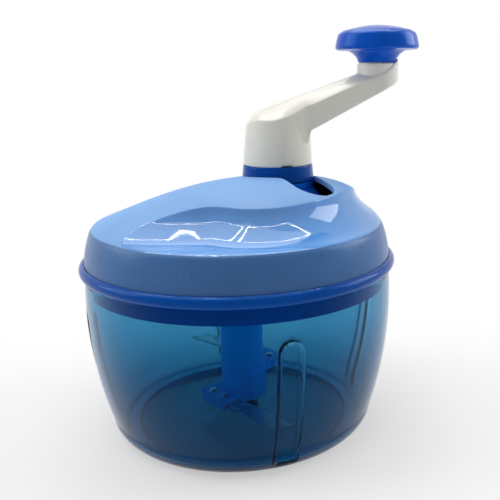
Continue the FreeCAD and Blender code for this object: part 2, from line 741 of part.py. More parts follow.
seal_in_r = s.bowl_rim_r - s.bowl_wall / 2 - s.seal_width / 2
seal_out_r = seal_in_r + s.seal_width
recess_r = skirt_low_r + s.small_gap
base_turned = turned(
    "lid_base_turned",
    [
        (0, deck_low),
        (plug_r - s.plug_wall, deck_low),
        (plug_r - s.plug_wall, plug_low),
        (plug_r, plug_low),
        (plug_r, bead_low),
        (bead_r, bead_low),
        (recess_r, bead_high, s.bead_height * s.bead_fullness),
        (recess_r, ledge),
        (locator_out_r, ledge),
        (locator_out_r, locator_high),
        (locator_in_r, locator_high),
        (locator_in_r, deck_top + s.plug_wall),
        (plug_r - s.plug_wall * 2, deck_top),
        (0, deck_top),
    ],
)
seal_low = s.bowl_top + s.seal_gap
seal_high = bead_low + s.seal_rise
seal_groove = ring("seal_groove", seal_in_r, seal_out_r, bead_low - PAST, seal_high)
node("rim_seal", ring("rim_seal_ring", seal_in_r, seal_out_r, seal_low, seal_high))
bush_hole = cylinder("bush_hole", bush_r, deck_low - PAST, deck_top + PAST)
spout_hole = cylinder("spout_hole", s.spout_r, deck_low - PAST, deck_top + PAST, funnel_x, funnel_y)
flange_middle_r = shroud_out_r + s.shroud_flange / 2
screw_places = {
    "cover": list(around(s.post_count, s.post_angle, post_out)),
    "shroud": list(around(s.shroud_screws, s.shroud_screw_angle, flange_middle_r, crank_x)),
}
screw_tops = {"cover": deck_top + s.screw_reach, "shroud": flange_screw_top}
base_holes = []
screws = {"cover": [], "shroud": []}
for kind, places in screw_places.items():
    for index, x, y in places:
        shank_low = deck_low - s.screw_head / 2
        shank = cylinder(f"{kind}_shank_{index}", s.screw_r, shank_low, screw_tops[kind], x, y)
        head = cylinder(f"{kind}_head_{index}", s.screw_head_r, deck_low - s.screw_head, deck_low, x, y)
        screws[kind].append(fused(f"{kind}_screw_{index}", shank, head))
        base_holes.append(cylinder(f"{kind}_hole_{index}", s.screw_r, deck_low - PAST, deck_top + PAST, x, y))
node("lid_base", cut("lid_base_cut", base_turned, seal_groove, bush_hole, spout_hole, *base_holes))
node("cover_screws", grouped("cover_screws_all", *screws["cover"]))
node("shroud_screws", grouped("shroud_screws_all", *screws["shroud"]))

# Spindle, its bush and clip

bush_bore_r = journal_r + s.running_gap
bush_flange_r = bush_r + s.bush_wall
bush_flange_top = deck_top + s.bush_wall
node(
    "spindle_bush",
    turned(
        "spindle_bush_turned",
        [
            (bush_bore_r, bush_low),
            (bush_r, bush_low),
            (bush_r, deck_top),
            (bush_flange_r, deck_top),
            (bush_flange_r, bush_flange_top),
            (bush_bore_r, bush_flange_top),
        ],
    ),
)
groove_r = journal_r - s.groove_depth
clip_r = journal_r + s.clip_width
clip_low = clip_top - s.clip_thick
spindle_round = cylinder("spindle_round", journal_r, journal_low, gear_low)
spindle_hex = hexagon("spindle_hex", s.hex_flats, hex_low, gear_high - s.hex_top_gap)
clip_groove = ring("clip_groove", groove_r, clip_r, clip_low, clip_top)
spindle_body = fused("spindle_body", spindle_round, spindle_hex)
node("drive_spindle", cut("drive_spindle_cut", spindle_body, clip_groove))
clip_ring = ring("clip_ring", groove_r + s.running_gap, clip_r, clip_low, clip_top)
clip_mouth = box("clip_mouth", clip_r, journal_r, clip_low - PAST, clip_top + PAST, clip_r / 2 + PAST)
node("spindle_clip", cut("spindle_clip_cut", clip_ring, clip_mouth))

# Gears


def involute(angle):
    return math.tan(angle) - angle


def gear_blank(teeth, tip_r, root_r, play, low, high):
    """A toothed disc with a tooth on the -X side, its teeth thicker by the play on each flank."""
    pressure = math.radians(s.pressure_angle.value)
    pitch_r = teeth * s.gear_module.value / 2
    base_r = pitch_r * math.cos(pressure)
    half_tooth = math.pi / (2 * teeth) + play / pitch_r
    foot_radius = max(root_r, base_r)
    steps = 5
    flank = []
    for step in range(steps):
        radius = foot_radius + (tip_r - foot_radius) * step / (steps - 1)
        lean = half_tooth + involute(pressure) - involute(math.acos(min(base_r / radius, 1.0)))
        flank.append((radius, lean))

    def at(radius, angle):
        return FreeCAD.Vector(radius * math.cos(angle), radius * math.sin(angle), low)

    edges = []
    foot_lean = flank[0][1]
    for tooth in range(int(teeth)):
        middle = math.pi + tooth * 2 * math.pi / teeth
        following = middle + 2 * math.pi / teeth
        rising = [at(radius, middle - lean) for radius, lean in flank]
        falling = [at(radius, middle + lean) for radius, lean in reversed(flank)]
        for points in (rising, falling):
            curve = Part.BSplineCurve()
            curve.interpolate(points)
            edges.append(curve.toShape())
        edges.append(Part.Arc(rising[-1], at(tip_r, middle), falling[0]).toShape())
        root_start = at(root_r, middle - foot_lean)
        root_end = at(root_r, middle + foot_lean)
        if root_r < foot_radius:
            edges.append(Part.LineSegment(root_start, rising[0]).toShape())
            edges.append(Part.LineSegment(falling[-1], root_end).toShape())
        root_middle = at(root_r, (middle + following) / 2)
        edges.append(Part.Arc(root_end, root_middle, at(root_r, following - foot_lean)).toShape())
    wire = Part.Wire(Part.__sortEdges__(edges))
    return Part.Face(wire).extrude(FreeCAD.Vector(0, 0, high - low))


def toothed(name, teeth, tip_r, root_r, play, low, high):
    thing = doc.addObject("Part::Feature", name)
    thing.Shape = gear_blank(teeth.value, tip_r.value, root_r.value, play, low.value, high.value)
    return thing


tip_height = s.gear_module * s.tooth_tip
root_depth = s.gear_module * s.tooth_root
pinion_pitch_r = s.pinion_teeth * s.gear_module / 2
pinion_blank = toothed(
    "pinion_blank",
    s.pinion_teeth,
    pinion_pitch_r + tip_height,
    pinion_pitch_r - root_depth,
    -s.backlash.value,
    gear_low,
    gear_high - s.pinion_gap,
)
pinion_bore = hexagon("pinion_bore", s.hex_flats, gear_low - PAST, gear_high + PAST)
node("centre_pinion", cut("centre_pinion_cut", pinion_blank, pinion_bore))

ring_space = toothed(
    "ring_space",
    s.ring_teeth,
    ring_root_r,
    ring_pitch_r - tip_height,
    s.backlash.value,
    gear_low - PAST,
    gear_high,
)
place(ring_space, crank_x)
sleeve_top = collar_low - s.small_gap
ring_turned = turned(
    "ring_turned",
    [
        (0, gear_low),
        (ring_outer_r, gear_low),
        (ring_outer_r, disc_top),
        (s.sleeve_r, disc_top),
        (s.sleeve_r, sleeve_top),
        (0, sleeve_top),
    ],
    crank_x,
)
stub = hexagon("drive_stub", s.stub_flats, sleeve_roof, stub_top, crank_x)
sleeve_hollow = cylinder("sleeve_hollow", s.sleeve_r - s.sleeve_wall, gear_low, sleeve_roof, crank_x)
crank_bore = cylinder("crank_bore", s.crank_screw_r, sleeve_roof - PAST, stub_top + PAST, crank_x)
ring_solid = fused("ring_solid", ring_turned, stub)
node("ring_gear", cut("ring_gear_cut", ring_solid, ring_space, sleeve_hollow, crank_bore))
thrust_r = s.sleeve_r + s.thrust_width
node("thrust_washer", ring("thrust_ring", s.sleeve_r, thrust_r, disc_top, disc_top + s.thrust_thick, crank_x))

# Gear shroud

neck_out_r = s.collar_low_r - s.small_gap
neck_in_r = neck_bore_r + s.shroud_wall
cone_top = neck_top - s.neck_lip
cone_low = disc_top + s.shroud_rise
shroud_turned = turned(
    "shroud_turned",
    [
        (shroud_in_r, deck_top),
        (flange_r, deck_top),
        (flange_r, flange_top),
        (shroud_out_r, flange_top),
        (shroud_out_r, cone_low),
        (neck_out_r, cone_top),
        (neck_out_r, neck_top),
        (neck_bore_r, neck_top),
        (neck_bore_r, neck_low),
        (neck_in_r, neck_low),
        (neck_in_r, cone_top - s.neck_web),
        (shroud_in_r, cone_low - s.shroud_wall / 2),
    ],
    crank_x,
)
pilot_holes = [
    cylinder(f"shroud_pilot_{index}", s.screw_r, deck_top - PAST, flange_screw_top, x, y)
    for index, x, y in screw_places["shroud"]
]
node("gear_shroud", cut("gear_shroud_cut", shroud_turned, *pilot_holes))

# Pouring funnel

spout_bore_r = s.spout_r - s.funnel_wall
node(
    "pour_funnel",
    turned(
        "pour_funnel_turned",
        [
            (spout_bore_r, deck_low - s.spout_drop),
            (s.spout_r, deck_low - s.spout_drop),
            (s.spout_r, deck_top),
            (funnel_foot_r, deck_top),
            (funnel_foot_r, throat_z - s.funnel_wall),
            (s.funnel_r, funnel_mouth),
            (s.funnel_r - s.funnel_wall, funnel_mouth),
            (spout_bore_r, throat_z),
        ],
        funnel_x,
        funnel_y,
    ),
)

# Top cover: a skirt, a leaf-shaped crown and the hollow scoop in front of it

CROWN_STEPS = 14
FLARE_STEPS = 8


def crown(name, wall):
    """A leaning dome on a short foot, made of circles, lowered and drawn in by the wall given."""
    foot = FreeCAD.Vector(0, 0, crease_z.value - wall - PAST)
    rings = [Part.Wire(Part.Circle(foot, FreeCAD.Vector(0, 0, 1), crease_r.value - wall).toShape())]
    for step in range(CROWN_STEPS + 1):
        share = 1 - (1 - s.crown_flat.value) * step / CROWN_STEPS
        level = 1 - share ** (1 / s.crown_power.value)
        radius = (crease_r.value - wall) * share
        height = crease_z.value - wall + s.crown_rise.value * level
        centre = FreeCAD.Vector(s.crown_lean.value * level, 0, height)
        rings.append(Part.Wire(Part.Circle(centre, FreeCAD.Vector(0, 0, 1), radius).toShape()))
    thing = doc.addObject("Part::Feature", name)
    thing.Shape = Part.makeLoft(rings, True, True)
    return thing


def leaf_wire(offset, height):
    """The leaf's outline at one height, moved out by the offset; it closes outside the cover."""
    front = math.radians(s.leaf_front_angle.value)
    back = math.radians(s.leaf_back_angle.value)
    sweep_turn = math.radians(s.leaf_sweep_turn.value)
    centre = FreeCAD.Vector(s.leaf_x.value, s.leaf_y.value, height)
    round_r = s.leaf_r.value + offset
    sweep_r = s.leaf_sweep_r.value - offset

    def out(angle):
        return FreeCAD.Vector(math.cos(angle), math.sin(angle), 0)

    sweep_centre = centre + out(front) * (s.leaf_r.value + s.leaf_sweep_r.value)
    joint = centre + out(front) * round_r
    middle = sweep_centre + out(front + math.pi + sweep_turn / 2) * sweep_r
    tail = sweep_centre + out(front + math.pi + sweep_turn) * sweep_r
    back_start = centre + out(back) * round_r
    back_end = back_start + out(back + math.pi / 2) * (crease_r.value * 2)
    edges = [
        Part.Arc(joint, centre + out((front + back) / 2) * round_r, back_start).toShape(),
        Part.LineSegment(back_start, back_end).toShape(),
        Part.LineSegment(back_end, tail).toShape(),
        Part.Arc(tail, middle, joint).toShape(),
    ]
    return Part.Wire(edges)


def flare(name, wall, past):
    """The leaf's upright side, which flares out into the scoop lower down, to the given depth below it."""
    lowered = leaf_edge_z.value - wall / 2
    high = crease_z.value + s.crown_rise.value + s.cover_wall.value * 2
    sections = [leaf_wire(-wall, high)]
    for step in range(FLARE_STEPS + 1):
        drop = (s.leaf_rise.value + past) * step / FLARE_STEPS
        offset = s.leaf_flare.value * (drop / s.leaf_rise.value) ** 2
        sections.append(leaf_wire(offset - wall, lowered - drop))
    thing = doc.addObject("Part::Feature", name)
    thing.Shape = Part.makeLoft(sections, True, True)
    return thing


def shoulder(name, wall, low):
    """The skirt and the low shoulder above it, moved in by the wall given."""
    middle_z = crease_z + s.shoulder_rise - wall
    return turned(
        name,
        [
            (0, low),
            (skirt_low_r - wall + skirt_slope * (skirt_low - low), low),
            (crease_r - wall + skirt_slope * wall, crease_z - wall),
            (s.leaf_r / 2, middle_z),
            (0, middle_z),
        ],
    )


inner = s.cover_wall.value
leaf_outside = common("leaf_outside", crown("crown_outside", 0.0), flare("flare_outside", 0.0, PAST * 2))
cover_outside = fused("cover_outside", shoulder("shoulder_outside", 0, skirt_low), leaf_outside)
leaf_inside = common("leaf_inside", crown("crown_inside", inner), flare("flare_inside", inner, inner + PAST))
shoulder_inside = shoulder("shoulder_inside", s.cover_wall, skirt_low - PAST)
cover_skirted = cut("cover_skirted", cover_outside, shoulder_inside)
cover_shell = cut("cover_shell", cover_skirted, leaf_inside)
posts = []
post_holes = []
for index, x, y in screw_places["cover"]:
    posts.append(cylinder(f"cover_post_{index}", s.post_r, deck_top, leaf_edge_z, x, y))
    post_holes.append(cylinder(f"cover_pilot_{index}", s.screw_r, deck_top - PAST, screw_tops["cover"], x, y))
cover_outline = fused("cover_outline", shoulder("shoulder_outline", 0, deck_top), leaf_outside)
cover_posts = common("cover_posts", grouped("cover_posts_all", *posts), cover_outline)
collar_hole = cylinder("collar_hole", s.collar_low_r + s.mouth_gap, crease_z, hub_low, crank_x)
pour_end_x = crank_x + s.pour_x
pour_end = cylinder("pour_end", s.pour_width / 2, crease_z, hub_low, pour_end_x, s.pour_y)
pour_turn = 180.0 - s.pour_slant.value
pour_way = box(
    "pour_way",
    s.pour_reach,
    s.pour_width,
    crease_z,
    hub_low,
    pour_end_x + s.pour_reach / 2 * math.cos(math.radians(pour_turn)),
    s.pour_y + s.pour_reach / 2 * math.sin(math.radians(pour_turn)),
    pour_turn,
)
mouth = fused("cover_mouth", collar_hole, pour_end, pour_way)
cover_open = cut("cover_open", cover_shell, mouth)
node("top_cover", cut("top_cover_cut", fused("cover_body", cover_open, cover_posts), *post_holes))

# Crank: collar, arm, screw and washer

collar_ring = cone("collar_ring", s.collar_low_r, s.hub_low_r, collar_low, hub_low, crank_x)
collar_socket = hexagon("collar_socket", s.stub_flats, collar_low - PAST, hub_low + PAST, crank_x)
node("crank_collar", cut("crank_collar_cut", collar_ring, collar_socket))

hub = cone("crank_hub", s.hub_low_r, s.hub_top_r, hub_low, hub_top, crank_x)
arm_plan = padded(
    "arm_plan",
    [
        (0, 0 - s.arm_root_half),
        (s.knob_out, 0 - s.cup_low_r),
        (s.knob_out, s.cup_low_r),
        (0, s.arm_root_half),
    ],
    cup_top - hub_low,
    z=hub_low,
    x=crank_x,
)
arm_hub_end = cylinder("arm_hub_end", s.hub_top_r, hub_low, cup_top, crank_x)
arm_cup_end = cylinder("arm_cup_end", s.cup_low_r, hub_low, cup_top, knob_x)
arm_back = 0 - s.hub_top_r
arm_top_low = hub_top + s.arm_top_rise
arm_top_high = arm_top_low + s.arm_top_slope * (s.knob_out + s.hub_top_r)
under_start_z = hub_low + s.arm_under_rise
under_end = s.knob_out + s.cup_low_r + PAST
under_end_z = under_start_z + s.arm_under_slope * (under_end - s.arm_under_start)
arm_side = slab(
    "arm_side",
    [
        (arm_back - PAST, hub_top - s.arm_depth),
        (s.arm_under_start, hub_top - s.arm_depth),
        (s.arm_under_start, under_start_z),
        (under_end, under_end_z),
        (under_end, arm_top_high),
        (s.knob_out, arm_top_high),
        (arm_back + s.arm_nose, arm_top_low + s.arm_top_slope * s.arm_nose),
        (arm_back - PAST, hub_top - PAST),
    ],
    s.hub_top_r * 3,
    crank_x,
)
arm_outline = fused("arm_outline", arm_plan, arm_hub_end, arm_cup_end)
arm_beam = common("arm_beam", arm_outline, arm_side)
cup_side = slab(
    "cup_side",
    [
        (s.arm_under_start, under_start_z),
        (under_end, under_end_z),
        (under_end, cup_top + PAST),
        (s.arm_under_start, cup_top + PAST),
    ],
    s.hub_top_r * 3,
    crank_x,
)
cup = common("arm_cup", cone("cup_cone", s.cup_low_r, s.cup_top_r, hub_top, cup_top, knob_x), cup_side)
stub_socket = hexagon("stub_socket", s.stub_flats, hub_low - PAST, stub_top, crank_x)
screw_end = hub_top - s.hub_cap
hub_pilot = cylinder("hub_pilot", s.crank_screw_r, stub_top - PAST, screw_end, crank_x)
pin_hole = cylinder("pin_hole", s.knob_pin_r, knob_pin_low, cup_top + PAST, knob_x)
arm_body = fused("crank_arm_body", hub, arm_beam, cup)
node("crank_arm", cut("crank_arm_cut", arm_body, stub_socket, hub_pilot, pin_hole))
head_top = sleeve_roof - s.washer_thick
washer_r = s.crank_head_r + s.washer_margin
node("crank_washer", ring("crank_washer_ring", s.crank_screw_r, washer_r, head_top, sleeve_roof, crank_x))

node(
    "crank_screw",
    turned(
        "crank_screw_turned",
        [
            (0, head_top - s.crank_head),
            (s.crank_head_r, head_top - s.crank_head),
            (s.crank_head_r, head_top),
            (s.crank_screw_r, head_top),
            (s.crank_screw_r, screw_end),
            (0, screw_end),
        ],
        crank_x,
    ),
)

# Knob, its pin, washer and cap

knob_bore_r = s.knob_pin_r + s.running_gap
cap_hollow_r = s.cap_r - s.cap_ledge
node(
    "knob",
    turned(
        "knob_turned",
        [
            (knob_bore_r, knob_low),
            (s.knob_neck_r, knob_low),
            (s.knob_neck_r + s.neck_flare, knob_low + s.neck_height),
            (s.knob_r - s.rim_round_in, knob_rim_z - s.rim_round_drop, 0 - s.knob_under_arc),
            (s.knob_r, knob_rim_z, s.rim_round_arc),
            (s.knob_r - s.band_in, band_top, s.band_arc),
            (s.cap_r, cap_edge, s.knob_round_arc),
            (s.cap_r, cap_seat),
            (cap_hollow_r, cap_seat),
            (cap_hollow_r, knob_floor),
            (knob_bore_r, knob_floor),
        ],
        knob_x,
    ),
)
cap_dome_r = (s.cap_r * s.cap_r + s.cap_rise * s.cap_rise) / (s.cap_rise * 2)
cap_top = cap_edge + s.cap_rise
cap_outline = [(0, cap_seat), (s.cap_r, cap_seat), (s.cap_r, cap_edge), (0, cap_top, cap_dome_r)]
node("knob_cap", turned("knob_cap_turned", cap_outline, knob_x))
washer_low = knob_floor + s.washer_play
pin_head_low = washer_low + s.washer_thick
pin_washer_r = s.pin_head_r + s.washer_margin
node("knob_washer", ring("knob_washer_ring", s.knob_pin_r, pin_washer_r, washer_low, pin_head_low, knob_x))
node(
    "knob_pin",
    turned(
        "knob_pin_turned",
        [
            (0, knob_pin_low),
            (s.knob_pin_r, knob_pin_low),
            (s.knob_pin_r, pin_head_low),
            (s.pin_head_r, pin_head_low),
            (s.pin_head_r, pin_head_low + s.pin_head),
            (0, pin_head_low + s.pin_head),
        ],
        knob_x,
    ),
)

doc.recompute()

problems = []
for thing in doc.Objects:
    if "Invalid" in thing.State or "Error" in thing.State:
        problems.append(f"{thing.Name} ({thing.Label}): {thing.State}")
for label, thing in nodes.items():
    shape = thing.Shape
    if shape.isNull() or not shape.isValid() or not shape.Solids:
        problems.append(f"{label}: no valid solid")
if problems:
    raise RuntimeError("; ".join(problems))

os.makedirs("parts", exist_ok=True)
for label, thing in nodes.items():
    thing.Shape.exportStep(f"parts/{label}.step")
    print(f"{label}: {len(thing.Shape.Solids)} solid(s), {thing.Shape.Volume / 1000:.2f} cm3")
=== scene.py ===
import math

import bmesh
import bpy
import numpy as np
from mathutils import Matrix, Vector


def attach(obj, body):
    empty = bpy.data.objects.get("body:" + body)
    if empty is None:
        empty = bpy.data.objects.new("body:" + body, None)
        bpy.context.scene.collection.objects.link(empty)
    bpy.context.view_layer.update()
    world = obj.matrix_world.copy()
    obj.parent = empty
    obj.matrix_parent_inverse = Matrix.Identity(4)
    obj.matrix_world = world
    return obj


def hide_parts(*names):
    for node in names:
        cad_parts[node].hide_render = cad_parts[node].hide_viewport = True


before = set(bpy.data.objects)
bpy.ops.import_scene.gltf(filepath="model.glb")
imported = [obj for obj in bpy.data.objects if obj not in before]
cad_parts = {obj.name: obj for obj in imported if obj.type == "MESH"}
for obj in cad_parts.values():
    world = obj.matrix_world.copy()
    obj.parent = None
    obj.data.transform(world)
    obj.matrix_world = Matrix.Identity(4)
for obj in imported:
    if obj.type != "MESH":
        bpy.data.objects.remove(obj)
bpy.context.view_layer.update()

# All sizes below are in millimetres, as in the CAD source, and become metres when a mesh is made.
MM = 0.001
CRANK_X = 23.1
KNOB_X = 79.5


# Outlines and meshes

def arc(start, end, radius, steps=12):
    """Points after start up to end on an arc that bulges to the right of travel, or left if radius < 0."""
    (ax, ay), (bx, by) = start, end
    dx, dy = bx - ax, by - ay
    length = math.hypot(dx, dy)
    side = 1 if radius > 0 else -1
    away = math.sqrt(max(radius * radius - length * length / 4, 0))
    cx = (ax + bx) / 2 - side * dy / length * away
    cy = (ay + by) / 2 + side * dx / length * away
    first = math.atan2(ay - cy, ax - cx)
    turn = math.atan2(by - cy, bx - cx) - first
    turn = (turn + math.pi) % (2 * math.pi) - math.pi
    reach = abs(radius)
    return [
        (cx + reach * math.cos(first + turn * k / steps), cy + reach * math.sin(first + turn * k / steps))
        for k in range(1, steps + 1)
    ]


def outline(*corners, steps=12):
    """A polyline through corners (x, y), (x, y, rounding) or (x, y, rounding, arc radius to this corner)."""
    points, rounds = [], []
    for corner in corners:
        x, y, *more = corner
        rounding = more[0] if more else 0
        if len(more) > 1:
            curve = arc(points[-1], (x, y), more[1], steps)
            points += curve
            rounds += [0] * (len(curve) - 1) + [rounding]
        else:
            points.append((x, y))
            rounds.append(rounding)
    return rounded(points, rounds)


def rounded(points, rounds, steps=5):
    """A closed polyline with its marked corners rounded, each from that far before it to that far after it."""
    count = len(points)

    def walk(index, step, distance):
        here = points[index]
        while True:
            index = (index + step) % count
            there = points[index]
            gap = math.dist(here, there)
            if gap >= distance:
                part = distance / gap
                return (here[0] + (there[0] - here[0]) * part, here[1] + (there[1] - here[1]) * part), index
            distance -= gap
            here = there

    dropped = set()
    bends = {}
    for index, rounding in enumerate(rounds):
        if not rounding:
            continue
        before, back = walk(index, -1, rounding)
        after, ahead = walk(index, 1, rounding)
        bends[index] = (before, after)
        step = (index - 1) % count
        while step != back:
            dropped.add(step)
            step = (step - 1) % count
        step = (index + 1) % count
        while step != ahead:
            dropped.add(step)
            step = (step + 1) % count
    result = []
    for index, point in enumerate(points):
        if index in bends:
            before, after = bends[index]
            result += [bezier(before, point, after, k / steps) for k in range(steps + 1)]
        elif index not in dropped:
            result.append(point)
    return result


def bezier(start, corner, end, t):
    """A point of the curve from start to end that the corner pulls on."""
    return tuple(a * (1 - t) ** 2 + b * 2 * t * (1 - t) + c * t * t for a, b, c in zip(start, corner, end))


def skin(rows, loop=True):
    """Vertices and faces of a tube of rows, each a closed ring of points or one point."""
    verts, index_rows = [], []
    widest = max(len(row) for row in rows)
    for row in rows:
        if len(row) == 1:
            index_rows.append([len(verts)] * widest)
        else:
            index_rows.append(list(range(len(verts), len(verts) + widest)))
        verts += row
    faces = []
    last = len(rows) if loop else len(rows) - 1
    for i in range(last):
        low, high = index_rows[i], index_rows[(i + 1) % len(rows)]
        if low[0] == low[1] and high[0] == high[1]:
            continue
        for k in range(widest):
            n = (k + 1) % widest
            face = []
            for corner in (low[k], low[n], high[n], high[k]):
                if corner not in face:
                    face.append(corner)
            faces.append(tuple(face))
    return verts, faces


def lathe(loop, x=0.0, y=0.0, turns=180):
    """Vertices and faces of a closed (radius, height) outline turned about an upright axis."""
    rows = []
    for radius, z in loop:
        if radius < 1e-4:
            rows.append([(x, y, z)])
        else:
            angles = [2 * math.pi * k / turns for k in range(turns)]
            rows.append([(x + radius * math.cos(a), y + radius * math.sin(a), z) for a in angles])
    return skin(rows)


def merged(*parts):
    """Several (vertices, faces) pairs as one."""
    verts, faces = [], []
    for more_verts, more_faces in parts:
        base = len(verts)
        verts += more_verts
        faces += [tuple(i + base for i in face) for face in more_faces]
    return verts, faces


def placed(mesh, body, node):
    """An object for a mesh, riding on a body and replacing a CAD node."""
    piece = bpy.data.objects.new(mesh.name, mesh)
    bpy.context.scene.collection.objects.link(piece)
    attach(piece, body)
    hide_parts(node)
    return piece


def made(name, shape, body, node, materials, sharp=34, face_slots=None, weld=0.004):
    """A smooth piece from (vertices, faces)."""
    verts, faces = shape
    mesh = bpy.data.meshes.new(name)
    mesh.from_pydata([(x * MM, y * MM, z * MM) for x, y, z in verts], [], faces)
    if face_slots:
        mesh.polygons.foreach_set("material_index", face_slots)
    work = bmesh.new()
    work.from_mesh(mesh)
    bmesh.ops.remove_doubles(work, verts=work.verts, dist=weld * MM)
    bmesh.ops.dissolve_degenerate(work, edges=work.edges, dist=weld * MM / 2)
    bmesh.ops.recalc_face_normals(work, faces=work.faces)
    for face in work.faces:
        face.smooth = True
    work.to_mesh(mesh)
    work.free()
    mesh.set_sharp_from_angle(angle=math.radians(sharp))
    for material in materials:
        mesh.materials.append(material)
    return placed(mesh, body, node)


def softened(name, body, node, material, width):
    """A copy of a CAD node's mesh with its sharp edges rounded."""
    work = bmesh.new()
    work.from_mesh(bpy.data.objects[node].data)
    bmesh.ops.remove_doubles(work, verts=work.verts, dist=1e-6)
    bmesh.ops.dissolve_limit(
        work, angle_limit=math.radians(0.6), verts=work.verts, edges=work.edges, use_dissolve_boundaries=False
    )
    for face in work.faces:
        face.smooth = True
    mesh = bpy.data.meshes.new(name)
    work.to_mesh(mesh)
    work.free()
    mesh.materials.append(material)
    piece = placed(mesh, body, node)
    bevel = piece.modifiers.new("Edges", "BEVEL")
    bevel.width = width * MM
    bevel.segments = 3
    bevel.limit_method = "ANGLE"
    bevel.angle_limit = math.radians(40)
    bevel.harden_normals = True
    return piece


def joined(piece, voxel, passes):
    """Joins a piece's overlapping solids into one skin and softens its edges."""
    remesh = piece.modifiers.new("Join", "REMESH")
    remesh.mode = "VOXEL"
    remesh.voxel_size = voxel * MM
    remesh.use_smooth_shade = True
    relax = piece.modifiers.new("Soften", "SMOOTH")
    relax.factor = 0.5
    relax.iterations = passes
    depsgraph = bpy.context.evaluated_depsgraph_get()
    mesh = bpy.data.meshes.new_from_object(piece.evaluated_get(depsgraph))
    piece.modifiers.clear()
    old = piece.data
    mesh.name = old.name + "_joined"
    if not mesh.materials:
        for material in old.materials:
            mesh.materials.append(material)
    piece.data = mesh
    bpy.data.meshes.remove(old)


def smooth(low, high, value):
    """0 below low, 1 above high and an even curve between them."""
    t = min(max((value - low) / (high - low), 0.0), 1.0)
    return t * t * (3 - 2 * t)


def soft_max(a, b, width):
    """The larger of two heights, blended where they are within that width of each other."""
    near = max(width - abs(a - b), 0.0) / width
    return max(a, b) + near * near * width / 4


def crossing(test, low, high, halvings):
    """Where a test turns true between low and high, as the last pair of bounds."""
    for _ in range(halvings):
        middle = (low + high) / 2
        if test(middle):
            high = middle
        else:
            low = middle
    return low, high


def turns_of(count):
    """Angles that divide a full turn into equal parts."""
    return [2 * math.pi * k / count for k in range(count)]


def off_angle(angle, middle):
    """How far an angle is from another, between half a turn back and half a turn on."""
    return (angle - middle + math.pi) % (2 * math.pi) - math.pi


# Materials

def rgb(red, green, blue):
    """A colour as seen on screen, from 0 to 255, as the linear values that a shader takes."""
    def linear(value):
        value /= 255
        return value / 12.92 if value <= 0.04045 else ((value + 0.055) / 1.055) ** 2.4
    return (linear(red), linear(green), linear(blue), 1.0)


def shade(colour, factor):
    """A colour made lighter or darker."""
    return tuple(min(channel * factor, 1.0) for channel in colour[:3]) + (1.0,)


class Nodes:
    """Short names for building a material's nodes."""

    def __init__(self, name):
        self.material = bpy.data.materials.new(name)
        self.material.use_nodes = True
        self.tree = self.material.node_tree
        self.shader = self.tree.nodes["Principled BSDF"]
        self.place = self.add("ShaderNodeTexCoord").outputs["Object"]

    def add(self, kind):
        return self.tree.nodes.new(kind)

    def link(self, output, target):
        self.tree.links.new(output, target)

    def feed(self, output, socket):
        """Links an output to one of the shader's own sockets."""
        self.link(output, self.shader.inputs[socket])

    def fix(self, **values):
        """Sets sockets of the shader, named with _ for a space."""
        for name, value in values.items():
            self.shader.inputs[name.replace("_", " ")].default_value = value

    def noise(self, size, detail=3.0, rough=0.5, stretch=None):
        """Noise whose lumps are about this many millimetres across."""
        source = self.place
        if stretch:
            mapping = self.add("ShaderNodeMapping")
            mapping.inputs["Scale"].default_value = stretch
            self.link(self.place, mapping.inputs["Vector"])
            source = mapping.outputs["Vector"]
        node = self.add("ShaderNodeTexNoise")
        node.inputs["Scale"].default_value = 1 / (size * MM)
        node.inputs["Detail"].default_value = detail
        node.inputs["Roughness"].default_value = rough
        self.link(source, node.inputs["Vector"])
        return node.outputs["Fac"]

    def ramp(self, source, low, high, start=0.3, end=0.7):
        """A source from 0 to 1 as a blend between two colours."""
        node = self.add("ShaderNodeValToRGB")
        first, second = node.color_ramp.elements
        first.position, first.color = start, low
        second.position, second.color = end, high
        self.link(source, node.inputs["Fac"])
        return node.outputs["Color"]

    def span(self, source, low, high, start=0.25, end=0.75):
        """A source between start and end as a number between low and high."""
        node = self.add("ShaderNodeMapRange")
        node.inputs["From Min"].default_value = start
        node.inputs["From Max"].default_value = end
        node.inputs["To Min"].default_value = low
        node.inputs["To Max"].default_value = high
        self.link(source, node.inputs["Value"])
        return node.outputs["Result"]

    def mix(self, factor, base, colour):
        """A colour laid over a base as far as a factor says."""
        node = self.add("ShaderNodeMix")
        node.data_type = "RGBA"
        amount, under, over, result = node.inputs[0], node.inputs[6], node.inputs[7], node.outputs[2]
        self.link(factor, amount)
        self.link(base, under)
        over.default_value = colour
        return result

    def bump(self, source, strength, depth):
        """Relief of that many millimetres."""
        node = self.add("ShaderNodeBump")
        node.inputs["Strength"].default_value = strength
        node.inputs["Distance"].default_value = depth * MM
        self.link(source, node.inputs["Height"])
        self.feed(node.outputs["Normal"], "Normal")


def plastic(name, colour, rough, spread=0.06, grain=0.8, relief=0.01, gloss=0.5, tint=(1.0, 1.0, 1.0, 1.0)):
    """Moulded plastic: faint flow marks, uneven gloss and a fine grain."""
    build = Nodes(name)
    flow = build.noise(28, 4, 0.55, (1, 1, 0.45))
    base = build.ramp(flow, shade(colour, 1 - spread), shade(colour, 1 + spread))
    specks = build.noise(1.6, 2, 0.6)
    base = build.mix(build.span(specks, 0, 0.35, 0.52, 0.75), base, shade(colour, 1 + spread * 1.6))
    build.feed(base, "Base Color")
    smears = build.noise(11, 5, 0.6, (1, 1, 0.6))
    build.feed(build.span(smears, rough * 0.8, rough * 1.25), "Roughness")
    build.fix(IOR=1.5, Specular_IOR_Level=gloss, Specular_Tint=tint)
    build.bump(build.noise(grain, 3, 0.6), 0.5, relief)
    return build.material


